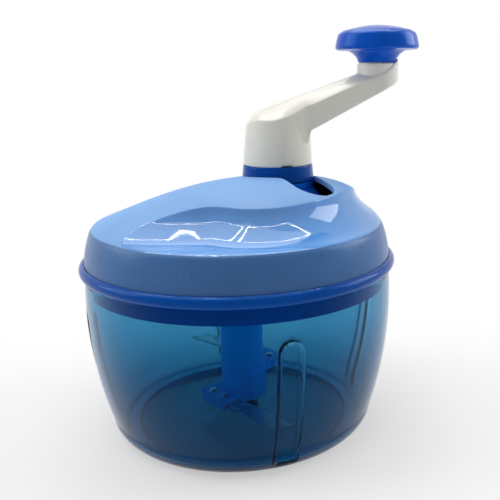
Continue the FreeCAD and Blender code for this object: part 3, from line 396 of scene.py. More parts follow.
def clear_plastic(name, colour, painted_shade_colour, thick_colour, density, rough, spread=0.05):
    """Tinted see-through plastic with painted shade that darkens it towards the bottom, darker also where it is
    thick, with faint flow lines.
    """
    build = Nodes(name)
    flow = build.noise(30, 4, 0.6, (1, 1, 0.35))
    base = build.ramp(flow, shade(colour, 1 - spread), shade(colour, 1 + spread))
    parts = build.add("ShaderNodeSeparateXYZ")
    build.link(build.place, parts.inputs[0])
    # Painted shade: the colour darkens towards the bowl's bottom, where the floor under it lies in shade.
    base = build.mix(build.span(parts.outputs["Z"], 1.0, 0.0, 0.012, 0.078), base, painted_shade_colour)
    build.feed(base, "Base Color")
    haze = build.noise(9, 5, 0.65)
    build.feed(build.span(haze, rough * 0.6, rough * 1.6), "Roughness")
    build.fix(IOR=1.44, Specular_Tint=(0.03, 0.2, 0.42, 1.0), Transmission_Weight=1.0)
    build.bump(build.noise(9, 2, 0.4, (1, 1, 0.3)), 0.15, 0.02)
    absorb = build.add("ShaderNodeVolumeAbsorption")
    absorb.inputs["Color"].default_value = thick_colour
    absorb.inputs["Density"].default_value = density
    build.link(absorb.outputs["Volume"], build.tree.nodes["Material Output"].inputs["Volume"])
    return build.material


def steel(name, colour, rough, stretch):
    """Ground or turned steel with fine lines along one direction."""
    build = Nodes(name)
    streaks = build.noise(0.9, 4, 0.65, stretch)
    stains = build.noise(9, 3, 0.5)
    base = build.ramp(streaks, shade(colour, 0.82), shade(colour, 1.12))
    base = build.mix(build.span(stains, 0, 0.3, 0.5, 0.8), base, shade(colour, 0.7))
    build.feed(base, "Base Color")
    build.feed(build.span(streaks, rough * 0.75, rough * 1.3), "Roughness")
    build.fix(Metallic=1.0)
    build.bump(streaks, 0.35, 0.03)
    return build.material


BLUE_TINT = (0.2, 0.5, 1.0, 1.0)
PALE_TINT = (0.55, 0.8, 1.0, 1.0)
CROWN = plastic("cover_matte", rgb(130, 174, 228), 0.62, spread=0.035, grain=0.35, relief=0.02, gloss=0.3)
SCOOP = plastic("cover_glossy", rgb(94, 156, 226), 0.05, spread=0.04, relief=0.002)
SKIRT = plastic("cover_satin", rgb(64, 106, 162), 0.3, spread=0.05, relief=0.003, gloss=0.3, tint=PALE_TINT)
DEEP = plastic("deep_blue", rgb(0, 72, 160), 0.16, spread=0.08, relief=0.005, gloss=0.2, tint=BLUE_TINT)
KNOB_BLUE = plastic("knob_blue", rgb(0, 80, 192), 0.2, spread=0.08, grain=0.5, gloss=0.35, tint=BLUE_TINT)
BRIGHT = plastic("bright_blue", rgb(20, 122, 250), 0.22, relief=0.006, gloss=0.3, tint=BLUE_TINT)
COLUMN = plastic("column_blue", rgb(0, 160, 246), 0.3, spread=0.09, gloss=0.25, tint=BLUE_TINT)
IVORY = plastic("ivory", rgb(238, 236, 223), 0.22, spread=0.025, grain=0.6)
GEAR = plastic("gear_white", rgb(222, 221, 214), 0.45, spread=0.03, relief=0.012)
BUSH = plastic("bush_white", rgb(214, 213, 206), 0.5, spread=0.03, relief=0.012)
SEAL = plastic("seal_grey", rgb(52, 52, 56), 0.7, spread=0.1, grain=0.5, relief=0.03)
BOWL = clear_plastic(
    "bowl_clear",
    colour=(0.95, 0.98, 0.99, 1.0),
    # Colour of the painted shade towards the bowl's bottom.
    painted_shade_colour=(0.24, 0.36, 0.46, 1.0),
    thick_colour=(0.0, 0.62, 0.8, 1.0),
    density=520.0,
    rough=0.03,
)
BLADE = steel("ground_steel", rgb(196, 200, 202), 0.24, (0.06, 1, 1))
PIN = steel("turned_steel", rgb(188, 190, 194), 0.2, (0.1, 0.1, 1))
SCREW = steel("plated_steel", rgb(176, 178, 182), 0.3, (0.4, 0.4, 1))

KEPT_NODES = {
    "centre_pin": PIN,
    "lower_blade": BLADE,
    "upper_blade": BLADE,
    "blade_rivets": PIN,
    "rim_seal": SEAL,
    "cover_screws": SCREW,
    "shroud_screws": SCREW,
    "spindle_bush": BUSH,
    "drive_spindle": PIN,
    "spindle_clip": SCREW,
    "centre_pinion": GEAR,
    "ring_gear": GEAR,
    "thrust_washer": BUSH,
    "crank_washer": SCREW,
    "crank_screw": SCREW,
    "knob_washer": SCREW,
    "knob_pin": PIN,
    "lid_base": DEEP,
    "gear_shroud": BRIGHT,
    "pour_funnel": BRIGHT,
}
for node_name, node_material in KEPT_NODES.items():
    for material_slot in bpy.data.objects[node_name].material_slots:
        material_slot.material = node_material


# Bowl: the outline of its wall turned about its axis, with the four flutes pressed in

BOWL_FOOT = (66.5, 0.0)
BOWL_CORNER = (75.0, 12.0)
BOWL_RIM = (84.9, 91.0)
BOWL_WALL = 2.5
RIM_ROUNDING = 1.1
FLOOR_TOP = 5.0
FLUTES = [math.radians(-73.8 + 90 * k) for k in range(4)]
FLUTE_TOP = 67.0
FLUTE_FOOT = 6.0
FLUTE_DEPTH = 2.6
FLUTE_HALVES = {"outside": (4.5, 6.4), "inside": (4.9, 7.0)}
FLUTE_STEP = 0.19
FLUTE_STEPS = 32
FLUTE_SPAN = 7.2


def flute_depth(radius, angle, z, side):
    """How far a flute presses the wall in at a place."""
    flat, widest = FLUTE_HALVES[side]
    for middle in FLUTES:
        across = radius * off_angle(angle, middle)
        if abs(across) < widest:
            away = math.hypot(across, max(z - FLUTE_TOP, 0))
            slope = min(max((away - flat) / (widest - flat), 0.0), 1.0)
            pressed = 1 - 0.8 * slope - 0.2 * slope * slope * (3 - 2 * slope)
            return FLUTE_DEPTH * pressed * smooth(FLUTE_FOOT - 3, FLUTE_FOOT + 4, z)
    return 0.0


def bowl_outline():
    """The bowl's outline as (radius, height, outward, side), with no outward direction where it stays round."""
    rim_r, rim_z = BOWL_RIM
    inner_r = rim_r - BOWL_WALL
    rim_low = rim_z - RIM_ROUNDING
    wall = [BOWL_FOOT] + arc(BOWL_FOOT, BOWL_CORNER, 14, 12) + arc(BOWL_CORNER, BOWL_RIM, 205, 64)
    outside, inside = [], []
    for i, (radius, z) in enumerate(wall):
        before, after = wall[max(i - 1, 0)], wall[min(i + 1, len(wall) - 1)]
        dr, dz = after[0] - before[0], after[1] - before[1]
        length = math.hypot(dr, dz)
        out = (dz / length, -dr / length)
        outside.append((radius, z, out, "outside"))
        inside.append((radius - BOWL_WALL * out[0], z - BOWL_WALL * out[1], out, "inside"))
    inside = [point for point in inside if point[1] > FLOOR_TOP]
    rim_out = (rim_r, rim_low), BOWL_RIM, (rim_r - RIM_ROUNDING, rim_z)
    rim_in = (inner_r + RIM_ROUNDING, rim_z), (inner_r, rim_z), (inner_r, rim_low)
    rim = [bezier(*corner, k / 4) for corner in (rim_out, rim_in) for k in range(5)]
    corner_r = inside[0][0]
    floor = [(corner_r - 1.5, 4.62), (corner_r - 3.5, 4.5), (40, 4.5), (12, 4.5), (9.2, 4.55), (8.3, 5.2)]
    pin_boss = [(8.0, 6.2), (8.0, 10.9), (7.7, 11.5), (7.1, 11.7), (3.02, 11.7), (3.02, 3.5), (0, 3.5)]
    under = [(0, 1.5), (30, 1.5), (58.2, 1.5), (59.0, 1.3), (59.4, 0.6), (60.0, 0.1), (60.8, 0.0), (65.4, 0.0)]
    below_rim = rim_low - 0.1
    loop = [point for point in outside if point[1] < below_rim]
    loop += [(r, z, None, "outside") for r, z in rim]
    loop += [point for point in reversed(inside) if point[1] < below_rim]
    loop += [(r, z, None, "inside") for r, z in floor + pin_boss + under]
    return loop


def bowl_angles():
    """Angles round the bowl, close together across each flute."""
    angles = []
    for middle in FLUTES:
        angles += [middle + math.radians(k * FLUTE_STEP) for k in range(-FLUTE_STEPS, FLUTE_STEPS + 1)]
        angles += [middle + math.radians(FLUTE_SPAN + k * (90 - 2 * FLUTE_SPAN) / 36) for k in range(37)]
    return sorted({round(angle % (2 * math.pi), 6) for angle in angles})


def bowl_shape():
    """The bowl as one closed skin, round the outline and round its axis."""
    rows = []
    angles = bowl_angles()
    for radius, z, out, side in bowl_outline():
        if radius < 1e-4:
            rows.append([(0.0, 0.0, z)])
            continue
        row = []
        for angle in angles:
            depth = flute_depth(radius, angle, z, side) if out else 0.0
            dr, dz = (depth * out[0], depth * out[1]) if out else (0.0, 0.0)
            row.append(((radius - dr) * math.cos(angle), (radius - dr) * math.sin(angle), z - dz))
        rows.append(row)
    return skin(rows)


made("bowl_clear_shell", bowl_shape(), "bowl", "bowl", [BOWL], sharp=40)


# Cover: lines from the pouring opening out over the leaf-shaped crown, down the scoop and the skirt

CREASE_Z = 115.9
CREASE_R = 80.9
CREASE_ROUNDING = 2.6
SKIRT_R = 85.2
SKIRT_Z = 96.9
SKIRT_BULGE = 0.7
CROWN_RISE = 25.6
CROWN_SHIFT = 20.0
CROWN_TILT = 2.4
COVER_WALL = 2.2
LIP_ROUNDING = 0.7
LEAF = (12.0, 3.0)
LEAF_R = 55.5
LEAF_FRONT = [
    (-120.0, -14.0), (-90.0, -27.5), (-70.0, -35.8), (-56.4, -40.6), (-43.2, -44.5), (-33.4, -46.7),
    (-23.6, -48.2), (-14.7, -49.9), (-9.7, -51.8), (-4.8, -54.0), (0.0, -55.8), (5.8, -57.0), (13.1, -57.2),
    (20.4, -56.2), (30.6, -52.4), (40.4, -45.9), (50.6, -35.3), (58.6, -22.6), (64.6, -9.4),
]
LEAF_BACK_ANGLES = (3, 15, 30, 45, 60, 75)
LEAF_BACK = [(-5.5, 65.2), (-34.5, 72.9), (-70.0, 82.4), (-120.0, 95.8)]
LEAF_EDGE_ROUNDING = 0.8
GRID_REACH = 110
SCOOP_TOP = 133.0
SCOOP_DROP = 17.1
SCOOP_OUT = 15.7
SCOOP_END = 1.02
COLLAR_HOLE = 20.9
SLOT_ANGLE = math.radians(-66)
SLOT_HALF = 11.2
SLOT_END = (16.3, -29.6)
CROWN_SLOT, SCOOP_SLOT, SKIRT_SLOT = range(3)
COVER_LINES = 400
POST_RING = 71
POSTS = ((30, 117.0), (150, 117.0), (270, 114.8))


def crown_z(x, y):
    """Height of the domed crown at a place."""
    def outside(h):
        return math.hypot(x - CROWN_SHIFT * h, y) >= CREASE_R * (1 - h) ** 0.4

    rise, _ = crossing(outside, 0.0, 1.0, 26)
    middle = max(1 - (math.hypot(x, y) / CREASE_R) ** 4, 0.0)
    return CREASE_Z + CROWN_RISE * rise - CROWN_TILT * math.tanh((y + 2) / 18) * middle


def curve_through(points, steps=8):
    """A smooth line through points."""
    line = []
    padded = [points[0]] + points + [points[-1]]
    for p0, p1, p2, p3 in zip(padded, padded[1:], padded[2:], padded[3:]):
        for k in range(steps):
            t = k / steps
            point = []
            for a, b, c, d in zip(p0, p1, p2, p3):
                square, cube = 2 * a - 5 * b + 4 * c - d, 3 * b - a - 3 * c + d
                point.append(0.5 * (2 * b + (c - a) * t + square * t * t + cube * t ** 3))
            line.append(tuple(point))
    line.append(points[-1])
    return line


def leaf_outline():
    """The crown's outline seen from above, well past the cover on the left."""
    back = []
    for turn in LEAF_BACK_ANGLES:
        angle = math.radians(turn)
        back.append((LEAF[0] + LEAF_R * math.cos(angle), LEAF[1] + LEAF_R * math.sin(angle)))
    return curve_through(LEAF_FRONT + back + LEAF_BACK)


def gap_grid():
    """How far each point of a 1 mm grid is outside the leaf's outline, evened out further off."""
    line = leaf_outline()
    ticks = np.arange(-GRID_REACH, GRID_REACH + 1, dtype=float)
    x, y = np.meshgrid(ticks, ticks, indexing="ij")
    nearest = np.full(x.shape, 1e9)
    inside = np.zeros(x.shape, dtype=bool)
    for (ax, ay), (bx, by) in zip(line, line[1:] + line[:1]):
        if by != ay:
            crosses = (ay > y) != (by > y)
            inside ^= crosses & (x < (bx - ax) * (y - ay) / (by - ay) + ax)
    for (ax, ay), (bx, by) in zip(line, line[1:]):
        dx, dy = bx - ax, by - ay
        part = np.clip(((x - ax) * dx + (y - ay) * dy) / (dx * dx + dy * dy), 0, 1)
        nearest = np.minimum(nearest, np.hypot(x - ax - part * dx, y - ay - part * dy))
    gap = np.where(inside, -nearest, nearest)
    even = gap.copy()
    for _ in range(14):
        for axis in (0, 1):
            even = (np.roll(even, 1, axis) + even + np.roll(even, -1, axis)) / 3
    share = np.clip((gap - 1) / 8, 0, 1)
    return (gap + share * (even - gap)).tolist()


GAPS = gap_grid()


def leaf_gap(x, y):
    """How far outside the leaf's outline a place is, negative inside it."""
    i, j = int(math.floor(x)) + GRID_REACH, int(math.floor(y)) + GRID_REACH
    u, v = x - math.floor(x), y - math.floor(y)
    low = GAPS[i][j] * (1 - v) + GAPS[i][j + 1] * v
    high = GAPS[i + 1][j] * (1 - v) + GAPS[i + 1][j + 1] * v
    return low * (1 - u) + high * u


def scoop_z(gap, radius):
    """Height of the scoop and the low shoulder at that distance outside the leaf."""
    if gap < 0:
        return SCOOP_TOP - gap * 12
    flare = SCOOP_TOP - SCOOP_DROP * math.sqrt(gap / SCOOP_OUT)
    shoulder = CREASE_Z + 1.7 * min(max((CREASE_R - radius) / 25, 0), 1)
    return soft_max(flare, shoulder, 2.4)


def mouth_reach(angle):
    """Distance from the crank's axis to the pouring opening's edge."""
    ux, uy = math.cos(angle), math.sin(angle)
    sx, sy = math.cos(SLOT_ANGLE), math.sin(SLOT_ANGLE)
    along = ux * sx + uy * sy
    if along <= 0.05:
        return COLLAR_HOLE
    across = ux * sy - uy * sx
    middle = SLOT_END[0] * sy - SLOT_END[1] * sx
    far = SLOT_END[0] * sx + SLOT_END[1] * sy
    bound = middle + SLOT_HALF if across > 0 else middle - SLOT_HALF
    reach = bound / across if abs(across) > 1e-6 else 1e6
    if reach < 0 or reach * along > far:
        toward = SLOT_END[0] * ux + SLOT_END[1] * uy
        inside = SLOT_HALF ** 2 - SLOT_END[0] ** 2 - SLOT_END[1] ** 2 + toward * toward
        reach = toward + math.sqrt(inside) if inside > 0 else 0
    return soft_max(COLLAR_HOLE, reach, 5.0)


def skirt_at(z, inset):
    """The skirt's radius at a height: an even slope with a slight bulge."""
    t = (CREASE_Z - z) / (CREASE_Z - SKIRT_Z)
    return CREASE_R + (SKIRT_R - CREASE_R) * t + SKIRT_BULGE * math.sin(math.pi * t) - inset


class CoverLine:
    """One line over the cover, from the opening's lip to the skirt's edge: its points and material slots."""

    def __init__(self, angle, inset):
        ux, uy = math.cos(angle), math.sin(angle)
        reach = mouth_reach(angle)
        rim_r = CREASE_R - inset
        toward = LEAF[0] * ux + LEAF[1] * uy
        far = -toward + math.sqrt(toward * toward - LEAF[0] ** 2 - LEAF[1] ** 2 + rim_r * rim_r)
        turned = math.degrees(math.atan2(uy, ux))
        swing = smooth(-180, -160, turned) * (1 - smooth(-116, -96, turned))
        across, down = 0.5 - 0.38 * swing, 0.5 + 0.3 * swing
        start = (CRANK_X + reach * ux, reach * uy)
        end = (LEAF[0] + far * ux, LEAF[1] + far * uy)
        self.pull = (end[0] + across * (start[0] - end[0]), end[1] + down * (start[1] - end[1]))
        self.start, self.end, self.inset = start, end, inset
        self.points, self.slots = [], []
        self.edge = self.leaf_edge()
        self.crease = 1 - self.share(1, CREASE_ROUNDING)
        self.leaf_end = min(self.edge - self.share(self.edge, LEAF_EDGE_ROUNDING), self.crease)
        self.add_crown()
        if self.edge < self.crease:
            self.add_scoop()
        else:
            self.add_tip()
        self.add_skirt()

    def spot(self, t):
        return bezier(self.start, self.pull, self.end, t)

    def share(self, t, distance):
        """The part of the line that a distance in millimetres makes up near a place on it."""
        dx, dy = (
            2 * (1 - t) * (pull - start) + 2 * t * (end - pull)
            for start, pull, end in zip(self.start, self.pull, self.end)
        )
        return distance / math.hypot(dx, dy)

    def crown(self, t):
        return crown_z(*self.spot(t)) - self.inset * 1.02

    def scoop(self, t):
        x, y = self.spot(t)
        return scoop_z(leaf_gap(x, y) + self.inset, math.hypot(x, y)) - self.inset

    def put(self, t, z, slot):
        x, y = self.spot(t)
        self.points.append((x, y, z))
        self.slots.append(slot)

    def leaf_edge(self, steps=60):
        """Where along the line the crown first stands above the scoop."""
        def above(t):
            return self.crown(t) > self.scoop(t)

        for k in range(1, steps + 1):
            if self.crown(k / steps) > self.scoop(k / steps) + 0.01:
                low, high = crossing(above, (k - 1) / steps, k / steps, 24)
                return (low + high) / 2
        return 1.0

    def scoop_spot(self, u):
        """Where along the line the scoop has come out by a share of its width."""
        goal = SCOOP_OUT * u * u - self.inset
        if leaf_gap(*self.spot(1.0)) <= goal:
            return self.crease
        low, _ = crossing(lambda t: leaf_gap(*self.spot(t)) >= goal, self.edge, 1.0, 26)
        return min(low, self.crease)

    def add_crown(self, steps=18):
        lip = self.share(0, LIP_ROUNDING)
        top = self.crown(lip)
        if self.inset:
            self.put(0, top - 0.4, CROWN_SLOT)
        else:
            self.put(0, top - COVER_WALL - 0.6, CROWN_SLOT)
            self.put(0, top - LIP_ROUNDING, CROWN_SLOT)
            for k in range(1, 4):
                t, z = bezier((0, top - LIP_ROUNDING), (0, top), (lip, top), k / 3)
                self.put(t, z, CROWN_SLOT)
        for k in range(1, steps + 1):
            t = lip + (self.leaf_end - lip) * k / steps
            self.put(t, self.crown(t), CROWN_SLOT)

    def add_scoop(self):
        x, y = self.spot(self.edge)
        gap = max(leaf_gap(x, y) + self.inset, 0)
        first_u = math.sqrt(gap / SCOOP_OUT) + 0.9 / SCOOP_DROP
        after = self.scoop_spot(first_u)
        bend = (
            (self.leaf_end, self.crown(self.leaf_end)),
            (self.edge, self.crown(self.edge)),
            (after, self.scoop(after)),
        )
        for k in range(1, 6):
            t, z = bezier(*bend, k / 5)
            self.put(t, z, CROWN_SLOT if k < 3 else SCOOP_SLOT)
        for k in range(1, 17):
            t = self.scoop_spot(first_u + (SCOOP_END - first_u) * k / 16)
            self.put(t, self.scoop(t), SCOOP_SLOT)
        settled = self.scoop_spot(SCOOP_END)
        for k in range(1, 11):
            t = settled + (self.crease - settled) * k / 10
            self.put(t, self.scoop(t), SCOOP_SLOT)

    def add_tip(self):
        """As many points as the scoop has, all at the crown's edge, where the leaf reaches the crease."""
        z = self.crown(self.leaf_end)
        for k in range(1, 32):
            self.put(self.leaf_end, z, CROWN_SLOT if k < 3 else SCOOP_SLOT)

    def add_skirt(self):
        crease_top = (*self.spot(self.crease), self.points[-1][2])
        crease_corner = (*self.end, CREASE_Z - self.inset + 0.15)
        angle = math.atan2(self.end[1], self.end[0])
        shoulder_slot = SCOOP_SLOT if self.edge < self.crease else CROWN_SLOT

        def at(radius, z):
            return (math.cos(angle) * radius, math.sin(angle) * radius, z)

        turn_z = CREASE_Z - 3.4
        turn = at(skirt_at(turn_z, self.inset), turn_z)
        for k in range(1, 8):
            self.points.append(bezier(crease_top, crease_corner, turn, k / 7))
            self.slots.append(SKIRT_SLOT if k > 3 else shoulder_slot)
        for k in range(1, 9):
            z = turn_z + (SKIRT_Z + 0.5 - turn_z) * k / 8
            self.points.append(at(skirt_at(z, self.inset), z))
            self.slots.append(SKIRT_SLOT)
        foot = SKIRT_R - self.inset + (0.2 if self.inset else -0.5)
        self.points.append(at(foot, SKIRT_Z))
        self.slots.append(SKIRT_SLOT)


def cover_shape():
    """The cover's outer and inner skins as one closed shell, and the material slot of each face."""
    angles = turns_of(COVER_LINES)
    outer = [CoverLine(angle, 0.0) for angle in angles]
    inner = [CoverLine(angle, COVER_WALL) for angle in angles]
    rows = [list(row) for row in zip(*(line.points for line in outer))]
    rows += [list(row) for row in zip(*(line.points[::-1] for line in inner))]
    slots = []
    for row in list(zip(*(line.slots for line in outer)))[1:]:
        slots += row
    slots += [SKIRT_SLOT] * (len(rows) * COVER_LINES - len(slots))
    return skin(rows), slots


def post_shape(turn, top):
    """A screw post inside the cover."""
    angle = math.radians(turn)
    loop = outline((0, 90.5), (4.2, 90.5, 0.4), (4.2, top), (0, top))
    return lathe(loop, POST_RING * math.cos(angle), POST_RING * math.sin(angle), 40)


cover_skins, cover_slots = cover_shape()
cover = merged(cover_skins, *(post_shape(turn, top) for turn, top in POSTS))
cover_slots += [SKIRT_SLOT] * (len(cover[1]) - len(cover_slots))
made(
    "cover_shell", cover, "lid", "top_cover", [CROWN, SCOOP, SKIRT],
    sharp=38, face_slots=cover_slots, weld=0.02,
)


# Collar under the crank

collar = outline(
    (12.4, 138.6), (20.3, 138.6, 0.4), (20.15, 140.0), (19.5, 146.6, 0.4), (19.25, 147.3, 0.2), (12.4, 147.3)
)
made("collar_ring", lathe(collar, CRANK_X, 0, 144), "crank", "crank_collar", [DEEP])


# Knob and its cap

knob = outline(
    (4.05, 202.6),
    (10.4, 202.6, 0.3),
    (11.0, 204.6),
    (21.6, 209.4, 0.5, -9.7),
    (23.2, 210.9, 0.5, 2.2),
    (21.6, 217.9, 0.6, 40),
    (16.8, 220.5, 0.3, 8.4),
    (16.8, 219.4),
    (14.4, 219.4),
    (14.4, 212.6),
    (4.05, 212.6),
)
made("knob_grip", lathe(knob, KNOB_X, 0, 160), "knob", "knob", [KNOB_BLUE])
cap = outline((0, 219.4), (16.7, 219.4), (16.7, 220.4, 0.4), (0, 222.9, 0, 58), steps=20)
made("knob_top", lathe(cap, KNOB_X, 0, 160), "knob", "knob_cap", [KNOB_BLUE])


# Crank arm: hub, beam and cup made as overlapping solids, then joined into one soft-edged moulding

HUB_Z = 147.3
HUB_R = 19.4
HUB_TOP_R = 17.6
HUB_TOP_Z = 168.6
HUB_LEAN = 0.6
NOTCH_ANGLE = math.radians(-78)
NOTCH_DEPTH = 0.7
CUP_REACH = 56.4
CUP_R = 11.8
CUP_TOP_Z = 202.3
ARM_HALF = 12.3
ARM_TAPER = 0.5
TOP_Z = 174.7
TOP_SLOPE = 0.347
TOP_ARCH = 8.0
NOSE_DROP = 5.0
UNDER_Z = 166.4
UNDER_SLOPE = 0.516


def arm_top(x, y):
    """Height of the arm's arched top at a distance from the crank's axis and to one side."""
    line = TOP_Z + TOP_SLOPE * (x + 18.1)
    nose = NOSE_DROP * max(0.0, 1 - (x + 17.0) / 8) ** 2
    wide = HUB_TOP_R - smooth(0, 20, x) * (HUB_TOP_R - ARM_HALF)
    arch = TOP_ARCH - 2.6 * smooth(5, 50, x)
    return line - nose - arch * min(abs(y) / wide, 1.1) ** 2.3


def arm_under(x):
    """Height of the arm's underside at a distance from the crank's axis."""
    return UNDER_Z + UNDER_SLOPE * (x - 18.0)


def arm_half(x):
    """Half the arm's width: the hub's at first, then a slight taper, then round the cup."""
    hub_half = math.sqrt(max(HUB_TOP_R ** 2 - (x - HUB_LEAN) ** 2, 0))
    if x > CUP_REACH:
        half = math.sqrt(max(CUP_R ** 2 - (x - CUP_REACH) ** 2, 0))
    elif x > 0:
        half = soft_max(hub_half, ARM_HALF - ARM_TAPER * x / CUP_REACH, 5.0)
    else:
        half = hub_half
    return max(half, 0.05)


def beam_shape():
    """The beam from the hub's back to the cup's far side, with an arched top."""
    stations = [HUB_LEAN - HUB_TOP_R * math.cos(math.pi * k / 48) for k in range(25)]
    stations += [1.5 * k for k in range(1, 37)]
    stations += [CUP_REACH + CUP_R * math.sin(math.pi * k / 24) for k in range(13)]
    rows = []
    for x in stations:
        half = arm_half(x)
        bottom = 160.0 if x < 17.5 else arm_under(x)
        across = [half * math.cos(math.pi * k / 16) for k in range(17)]
        row = [(CRANK_X + x, y, arm_top(x, y)) for y in across]
        rows.append(row + [(CRANK_X + x, -half, bottom), (CRANK_X + x, half, bottom)])
    verts, faces = skin(rows, loop=False)
    count = len(rows[0])
    faces.append(tuple(range(count)))
    faces.append(tuple(reversed(range(len(verts) - count, len(verts)))))
    return verts, faces


def hub_shape():
    """The hub, with a shallow notch in its lower edge and a top that follows the arm's."""
    angles = turns_of(180)

    def ring(radius, z, notch=0.0):
        lean = HUB_LEAN * (z - HUB_Z) / 22.0
        row = []
        for angle in angles:
            dent = notch * (1 - smooth(0.13, 0.19, abs(off_angle(angle, NOTCH_ANGLE))))
            r = radius - dent
            row.append((CRANK_X + lean + r * math.cos(angle), r * math.sin(angle), z + dent * 0.8))
        return row

    top = []
    for angle in angles:
        x, y = HUB_LEAN + HUB_TOP_R * math.cos(angle), HUB_TOP_R * math.sin(angle)
        top.append((CRANK_X + x, y, min(arm_top(x, y), 178.0) - 0.4))
    return skin(
        [
            [(CRANK_X, 0.0, HUB_Z)],
            ring(HUB_R - 0.5, HUB_Z, NOTCH_DEPTH),
            ring(HUB_R, HUB_Z + 0.5, NOTCH_DEPTH),
            ring(HUB_R - 0.1, HUB_Z + 1.4),
            ring(HUB_TOP_R + 0.3, HUB_TOP_Z),
            top,
            [(CRANK_X, 0.0, 172.0)],
        ],
        loop=False,
    )


def cup_shape():
    """The cup at the arm's end that holds the knob's pin."""
    angles = turns_of(120)
    foot = []
    for angle in angles:
        x, y = CUP_R * math.cos(angle), CUP_R * math.sin(angle)
        foot.append((KNOB_X + x, y, arm_under(CUP_REACH + x)))
    rows = [[(KNOB_X, 0.0, arm_under(CUP_REACH))], foot]
    for radius, z in ((10.95, CUP_TOP_Z - 0.3), (10.7, CUP_TOP_Z)):
        rows.append([(KNOB_X + radius * math.cos(angle), radius * math.sin(angle), z) for angle in angles])
    rows.append([(KNOB_X, 0.0, CUP_TOP_Z)])
    return skin(rows, loop=False)


arm_solids = merged(hub_shape(), beam_shape(), cup_shape())
joined(made("arm_moulding", arm_solids, "crank", "crank_arm", [IVORY]), 0.5, 5)


# Blade column: the CAD shape with softened edges

softened("column_moulding", "blade_unit", "blade_column", COLUMN, 0.5)


# Camera, fitted to the outlines in the photograph, whose frame is 500 by 500

FRAME = 500
FOCAL = 702.791
CENTRE = (303.261, 199.718)
DISTANCE, HEIGHT = 392.829, 195.528
YAW, PITCH, ROLL = math.radians(5.4179), math.radians(9.9495), math.radians(-0.7938)
SENSOR = 36.0

forward = Vector((math.sin(YAW) * math.cos(PITCH), math.cos(YAW) * math.cos(PITCH), -math.sin(PITCH)))
level_right = forward.cross(Vector((0, 0, 1))).normalized()
level_up = level_right.cross(forward)
right = math.cos(ROLL) * level_right + math.sin(ROLL) * level_up
up = math.cos(ROLL) * level_up - math.sin(ROLL) * level_right
camera_place = Matrix((right, up, -forward)).transposed().to_4x4()
camera_place.translation = Vector((0, -DISTANCE * MM, HEIGHT * MM))
camera_data = bpy.data.cameras.new("Camera")
camera_data.sensor_width = SENSOR
camera_data.lens = FOCAL * SENSOR / FRAME
camera_data.shift_x = (FRAME / 2 - CENTRE[0]) / FRAME
camera_data.shift_y = (CENTRE[1] - FRAME / 2) / FRAME
camera_data.clip_start = 0.01
camera = bpy.data.objects.new("Camera", camera_data)
camera.matrix_world = camera_place
bpy.context.scene.collection.objects.link(camera)
bpy.context.scene.camera = camera
bpy.context.scene.view_settings.view_transform = "Standard"


# Floor, world and lights

FLOOR_R = 6.0
FLOOR_COLOUR = (0.93, 0.93, 0.93, 1.0)
WHITE = (1, 1, 1, 1)
WHITE_NEAR = 0.5
WHITE_FROM, WHITE_TO = 0.2, 0.55
WORLD_LEVEL = 0.14


def shown_rays(tree):
    """1 for rays seen directly, in gloss or through glass, and 0 for those that only light a surface."""
    path = tree.nodes.new("ShaderNodeLightPath")
    shown = path.outputs["Is Camera Ray"]
    for name in ("Is Glossy Ray", "Is Transmission Ray"):
        larger = tree.nodes.new("ShaderNodeMath")
        larger.operation = "MAXIMUM"
        tree.links.new(shown, larger.inputs[0])
        tree.links.new(path.outputs[name], larger.inputs[1])
        shown = larger.outputs[0]
    return shown


def floor_material():
    """A pale floor that keeps the object's shadow and turns plain white further off where it is seen."""
    material = bpy.data.materials.new("floor_pale")
    material.use_nodes = True
    tree = material.node_tree
    tree.nodes.clear()
    coord = tree.nodes.new("ShaderNodeTexCoord")
    speck = tree.nodes.new("ShaderNodeTexNoise")
    speck.inputs["Scale"].default_value = 90
    tree.links.new(coord.outputs["Object"], speck.inputs["Vector"])
    tone = tree.nodes.new("ShaderNodeValToRGB")
    tone.color_ramp.elements[0].color = shade(FLOOR_COLOUR, 0.985)
    tone.color_ramp.elements[1].color = FLOOR_COLOUR
    tree.links.new(speck.outputs["Fac"], tone.inputs["Fac"])
    diffuse = tree.nodes.new("ShaderNodeBsdfDiffuse")
    tree.links.new(tone.outputs["Color"], diffuse.inputs["Color"])
    glow = tree.nodes.new("ShaderNodeEmission")
    glow.inputs["Color"].default_value = WHITE
    glow.inputs["Strength"].default_value = 1.0
    distance = tree.nodes.new("ShaderNodeVectorMath")
    distance.operation = "LENGTH"
    tree.links.new(coord.outputs["Object"], distance.inputs[0])
    fade = tree.nodes.new("ShaderNodeMapRange")
    fade.interpolation_type = "SMOOTHSTEP"
    fade.inputs["From Min"].default_value = WHITE_FROM
    fade.inputs["From Max"].default_value = WHITE_TO
    fade.inputs["To Min"].default_value = WHITE_NEAR
    tree.links.new(distance.outputs["Value"], fade.inputs["Value"])
    factor = tree.nodes.new("ShaderNodeMath")
    factor.operation = "MULTIPLY"
    tree.links.new(fade.outputs["Result"], factor.inputs[0])
    tree.links.new(shown_rays(tree), factor.inputs[1])
    mix = tree.nodes.new("ShaderNodeMixShader")
    tree.links.new(factor.outputs[0], mix.inputs["Fac"])
    tree.links.new(diffuse.outputs[0], mix.inputs[1])
    tree.links.new(glow.outputs[0], mix.inputs[2])
    output = tree.nodes.new("ShaderNodeOutputMaterial")
    tree.links.new(mix.outputs[0], output.inputs["Surface"])
    return material


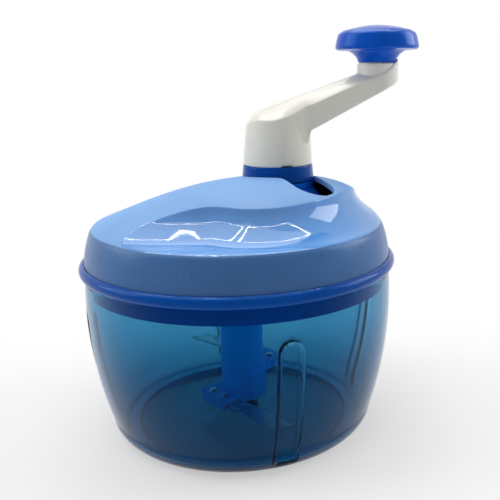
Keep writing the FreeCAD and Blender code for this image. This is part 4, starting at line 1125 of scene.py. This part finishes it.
floor_mesh = bpy.data.meshes.new("floor")
floor_verts = [(0.0, 0.0, 0.0)] + [(FLOOR_R * math.cos(a), FLOOR_R * math.sin(a), 0.0) for a in turns_of(96)]
floor_mesh.from_pydata(floor_verts, [], [(0, k + 1, (k + 1) % 96 + 1) for k in range(96)])
floor_mesh.materials.append(floor_material())
floor = bpy.data.objects.new("floor", floor_mesh)
bpy.context.scene.collection.objects.link(floor)

world = bpy.data.worlds.new("Studio")
bpy.context.scene.world = world
world.use_nodes = True
background = world.node_tree.nodes["Background"]
background.inputs["Color"].default_value = WHITE
level = world.node_tree.nodes.new("ShaderNodeMapRange")
level.inputs["To Min"].default_value = WORLD_LEVEL
level.inputs["To Max"].default_value = 1.0
world.node_tree.links.new(shown_rays(world.node_tree), level.inputs["Value"])
world.node_tree.links.new(level.outputs["Result"], background.inputs["Strength"])


def panel(name, width, depth, power, matrix):
    """A rectangular area light."""
    data = bpy.data.lights.new(name, "AREA")
    data.shape = "RECTANGLE"
    data.size = width
    data.size_y = depth
    data.energy = power
    light = bpy.data.objects.new(name, data)
    light.matrix_world = matrix
    bpy.context.scene.collection.objects.link(light)
    return light


def lamp(name, place, target, width, depth, power):
    """A soft light that faces a point."""
    turned = (Vector(target) - Vector(place)).to_track_quat("-Z", "Y").to_matrix().to_4x4()
    turned.translation = place
    panel(name, width, depth, power, turned)


def light_frame(name, low, high, z, thick, power):
    """Four narrow lights along a level rectangle's edges, facing down, that show only in gloss and glass."""
    corners = [(low[0], low[1], z), (high[0], low[1], z), (high[0], high[1], z), (low[0], high[1], z)]
    for index in range(4):
        start, end = Vector(corners[index]), Vector(corners[(index + 1) % 4])
        length = (end - start).length
        along = (end - start).normalized()
        back = Vector((0, 0, 1))
        turned = Matrix((along, back.cross(along), back)).transposed().to_4x4()
        turned.translation = (start + end) / 2
        panel(name + str(index), length, thick, power * length, turned).visible_diffuse = False


lamp("Overhead", (-0.3, 0.3, 2.0), (0, 0, 0.1), 2.4, 2.0, 36.0)
lamp("Left", (-1.4, 0.1, 0.8), (0, 0, 0.12), 0.9, 0.9, 7.0)
lamp("Right", (1.4, 0.2, 0.8), (0, 0, 0.12), 0.9, 0.9, 11.0)
light_frame("FrameLeft", (-0.95, -0.4), (-0.28, 0.3), 1.2, 0.012, 1.8)
light_frame("FrameRight", (-0.18, -0.4), (0.6, 0.3), 1.2, 0.012, 1.8)
